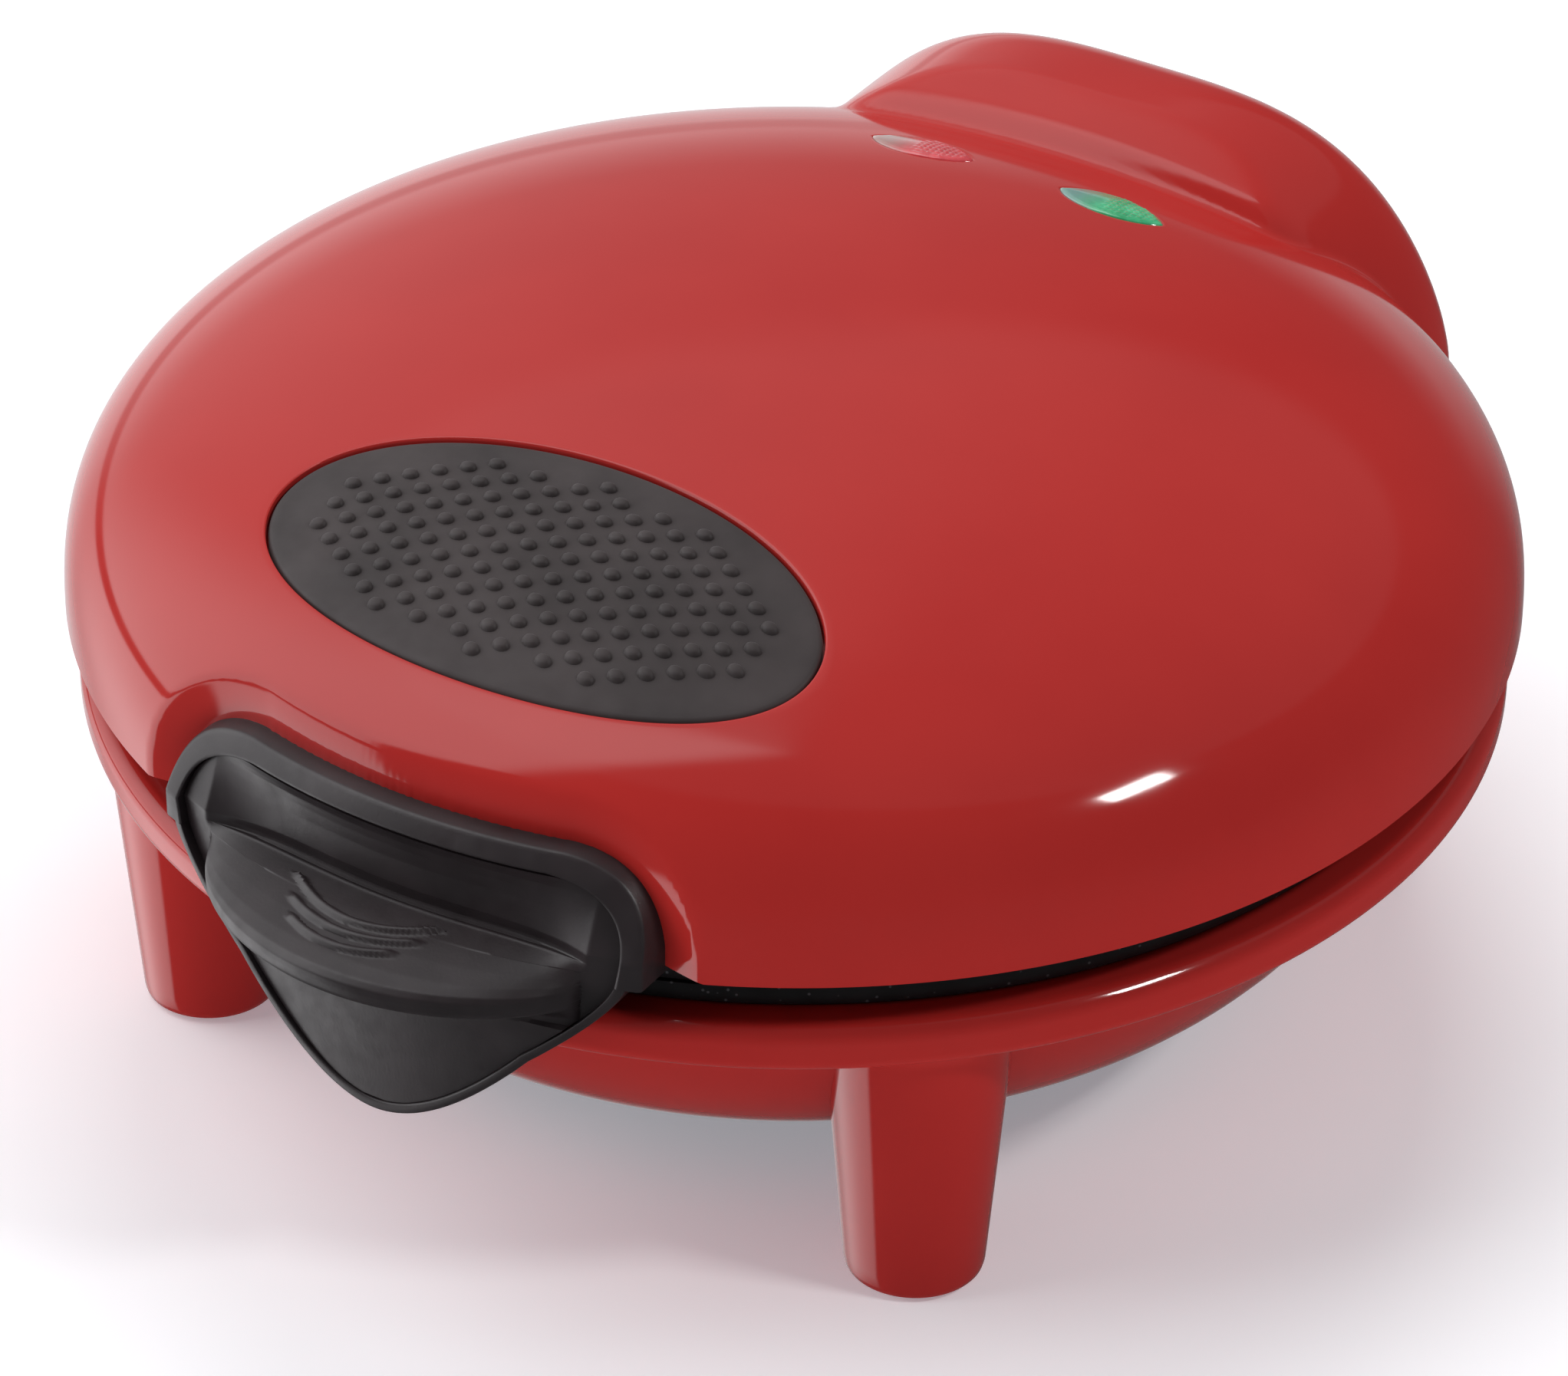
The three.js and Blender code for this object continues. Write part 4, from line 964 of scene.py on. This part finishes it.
def makeLight(name, place, target, size, power):
    light = bpy.data.lights.new(name, "AREA")
    light.shape = "RECTANGLE"
    light.size, light.size_y = size
    light.energy = power
    lamp = bpy.data.objects.new(name, light)
    bpy.context.scene.collection.objects.link(lamp)
    lamp.location = place
    lamp.rotation_euler = (Vector(target) - Vector(place)).to_track_quat("-Z", "Y").to_euler()
    return lamp


# the room: a bright wall to the object's left, falling off round to its back, with a pale horizon
# behind; the ceiling is dim but for a patch, and the right is dark
room = {
    "dim": 0.1, "wall": 0.6, "window": 1.6, "horizon": 0.5, "ceiling": 0.16, "colour": "#fdfdff",
    "windowWay": -60, "backWay": -125, "horizonWay": -146, "ceilingWay": (-178, 68),
}


def level(azimuth):
    # azimuth runs from the handle's side towards +X
    return (math.sin(math.radians(azimuth)), -math.cos(math.radians(azimuth)), 0)


def fold(tree, operation, parts):
    # adds up or multiplies several values
    total = parts[0]
    for part in parts[1:]:
        total = addNode(tree, "ShaderNodeMath", {"operation": operation}, {0: total, 1: part}).outputs[0]
    return total


def glowTowards(tree, direction, target, start, end, amount):
    # amount, rising smoothly as the direction turns towards the target
    dot = addNode(tree, "ShaderNodeVectorMath", {"operation": "DOT_PRODUCT"}, {0: direction, 1: target})
    ramp = addNode(tree, "ShaderNodeMapRange", {"interpolation_type": "SMOOTHSTEP"},
                   {"Value": dot.outputs["Value"], "From Min": start, "From Max": end, "To Max": amount})
    return ramp.outputs["Result"]


def buildRoom():
    world = bpy.data.worlds.new("room")
    bpy.context.scene.world = world
    world.use_nodes = True
    tree = world.node_tree
    tree.nodes.clear()
    way = addNode(tree, "ShaderNodeTexCoord").outputs["Generated"]
    flat = addNode(tree, "ShaderNodeVectorMath", {"operation": "MULTIPLY"}, {0: way, 1: (1, 1, 0)})
    heading = addNode(tree, "ShaderNodeVectorMath", {"operation": "NORMALIZE"}, {0: flat.outputs[0]})
    heading = heading.outputs[0]
    window = level(room["windowWay"])
    wall = fold(tree, "ADD", [glowTowards(tree, heading, window, -0.3, 0.5, room["wall"]),
                              glowTowards(tree, heading, window, 0.6, 0.98, room["window"])])
    # dark behind the cut and under the object, and in a thin band at the skyline
    side = glowTowards(tree, way, level(room["backWay"]), -0.03, 0.05, 1)
    above = glowTowards(tree, way, (0, 0, 1), -0.86, -0.62, 1)
    high = addNode(tree, "ShaderNodeSeparateXYZ", inputs={"Vector": way}).outputs["Z"]
    lifted = fold(tree, "ADD", [high, 0.04])
    fromBand = addNode(tree, "ShaderNodeMath", {"operation": "ABSOLUTE"}, {0: lifted}).outputs[0]
    band = addNode(tree, "ShaderNodeMapRange", {"interpolation_type": "SMOOTHSTEP"},
                   {"Value": fromBand, "From Min": 0.03, "From Max": 0.05}).outputs["Result"]
    wall = fold(tree, "MULTIPLY", [wall, side, band, above])
    fall = addNode(tree, "ShaderNodeMapRange", inputs={"Value": high, "From Min": 0.2, "From Max": 0.0})
    horizon = glowTowards(tree, way, level(room["horizonWay"]), 0.72, 0.98, room["horizon"])
    horizon = fold(tree, "MULTIPLY", [horizon, fall.outputs["Result"]])
    ceiling = glowTowards(tree, way, aim(*room["ceilingWay"], 1), 0.74, 0.78, room["ceiling"])
    total = fold(tree, "ADD", [wall, horizon, ceiling, room["dim"]])
    back = addNode(tree, "ShaderNodeBackground",
                   inputs={"Color": linear(room["colour"]), "Strength": total})
    output = addNode(tree, "ShaderNodeOutputWorld")
    tree.links.new(back.outputs["Background"], output.inputs["Surface"])


def aim(azimuth, elevation, distance):
    rise = math.radians(elevation)
    x, y, _ = level(azimuth)
    return [distance * v for v in (x * math.cos(rise), y * math.cos(rise), math.sin(rise))]


# each light: azimuth, elevation and distance, the height it points at, its size in metres and its watts
lights = {
    "spark": ((93, 46, 1.0), 0.08, (0.15, 0.07), 2.0),
    "backFill": ((-150, 58, 1.6), 0.06, (0.8, 0.8), 8.5),
}
floorHalf = 6

buildRoom()
for lightName, (where, height, size, watts) in lights.items():
    lamp = makeLight(lightName, aim(*where), (0, 0, height), size, watts)
    lamp.visible_glossy = lightName == "spark"

floorPoints = [(x * floorHalf, y * floorHalf, 0) for x, y in corners]
floorMesh = bpy.data.meshes.new("floor")
floorMesh.from_pydata(floorPoints, [], [(0, 1, 2, 3)])
floor = bpy.data.objects.new("floor", floorMesh)
bpy.context.scene.collection.objects.link(floor)
# white paper sweep, faintly lit from behind, which keeps the shadows pale
glow = {"Emission Color": linear("#f2f5ff"), "Emission Strength": 0.27}
paper, paperTree, paperSurface, paperPlace = startMaterial("matt white paper sweep", Roughness=0.9, **glow)
paperTint = twoTone(paperTree, clouds(paperTree, paperPlace, 60), "#f6f6f6", "#fafafa")
paperTree.links.new(paperTint, paperSurface.inputs["Base Color"])
floorMesh.materials.append(paper)
floor.visible_glossy = False


# camera: azimuth and elevation about the plates' centre on the floor, distance, and where the view's
# middle lies to the right of and above that centre
view = {
    "azimuth": 32.10, "elevation": 33.44, "roll": 0.37, "distance": 1047.3, "right": -1.2, "up": 32.9,
    "lens": 156.4, "sensor": 36,
}


def placeCamera():
    a, e, roll = (math.radians(view[k]) for k in ("azimuth", "elevation", "roll"))
    back = Vector((math.sin(a) * math.cos(e), -math.cos(a) * math.cos(e), math.sin(e)))
    right = Vector((math.cos(a), math.sin(a), 0))
    up = back.cross(right)
    tiltedRight = math.cos(roll) * right + math.sin(roll) * up
    tiltedUp = -math.sin(roll) * right + math.cos(roll) * up
    place = back * view["distance"] + tiltedRight * view["right"] + tiltedUp * view["up"]
    data = bpy.data.cameras.new("camera")
    data.lens, data.sensor_width = view["lens"], view["sensor"]
    camera = bpy.data.objects.new("camera", data)
    bpy.context.scene.collection.objects.link(camera)
    turn = Matrix((tiltedRight, tiltedUp, back)).transposed().to_4x4()
    camera.matrix_world = Matrix.Translation(place * mm + Vector((0, centreY, 0))) @ turn
    bpy.context.scene.camera = camera


placeCamera()
bpy.context.scene.view_settings.view_transform = "Standard"
print("studio made")
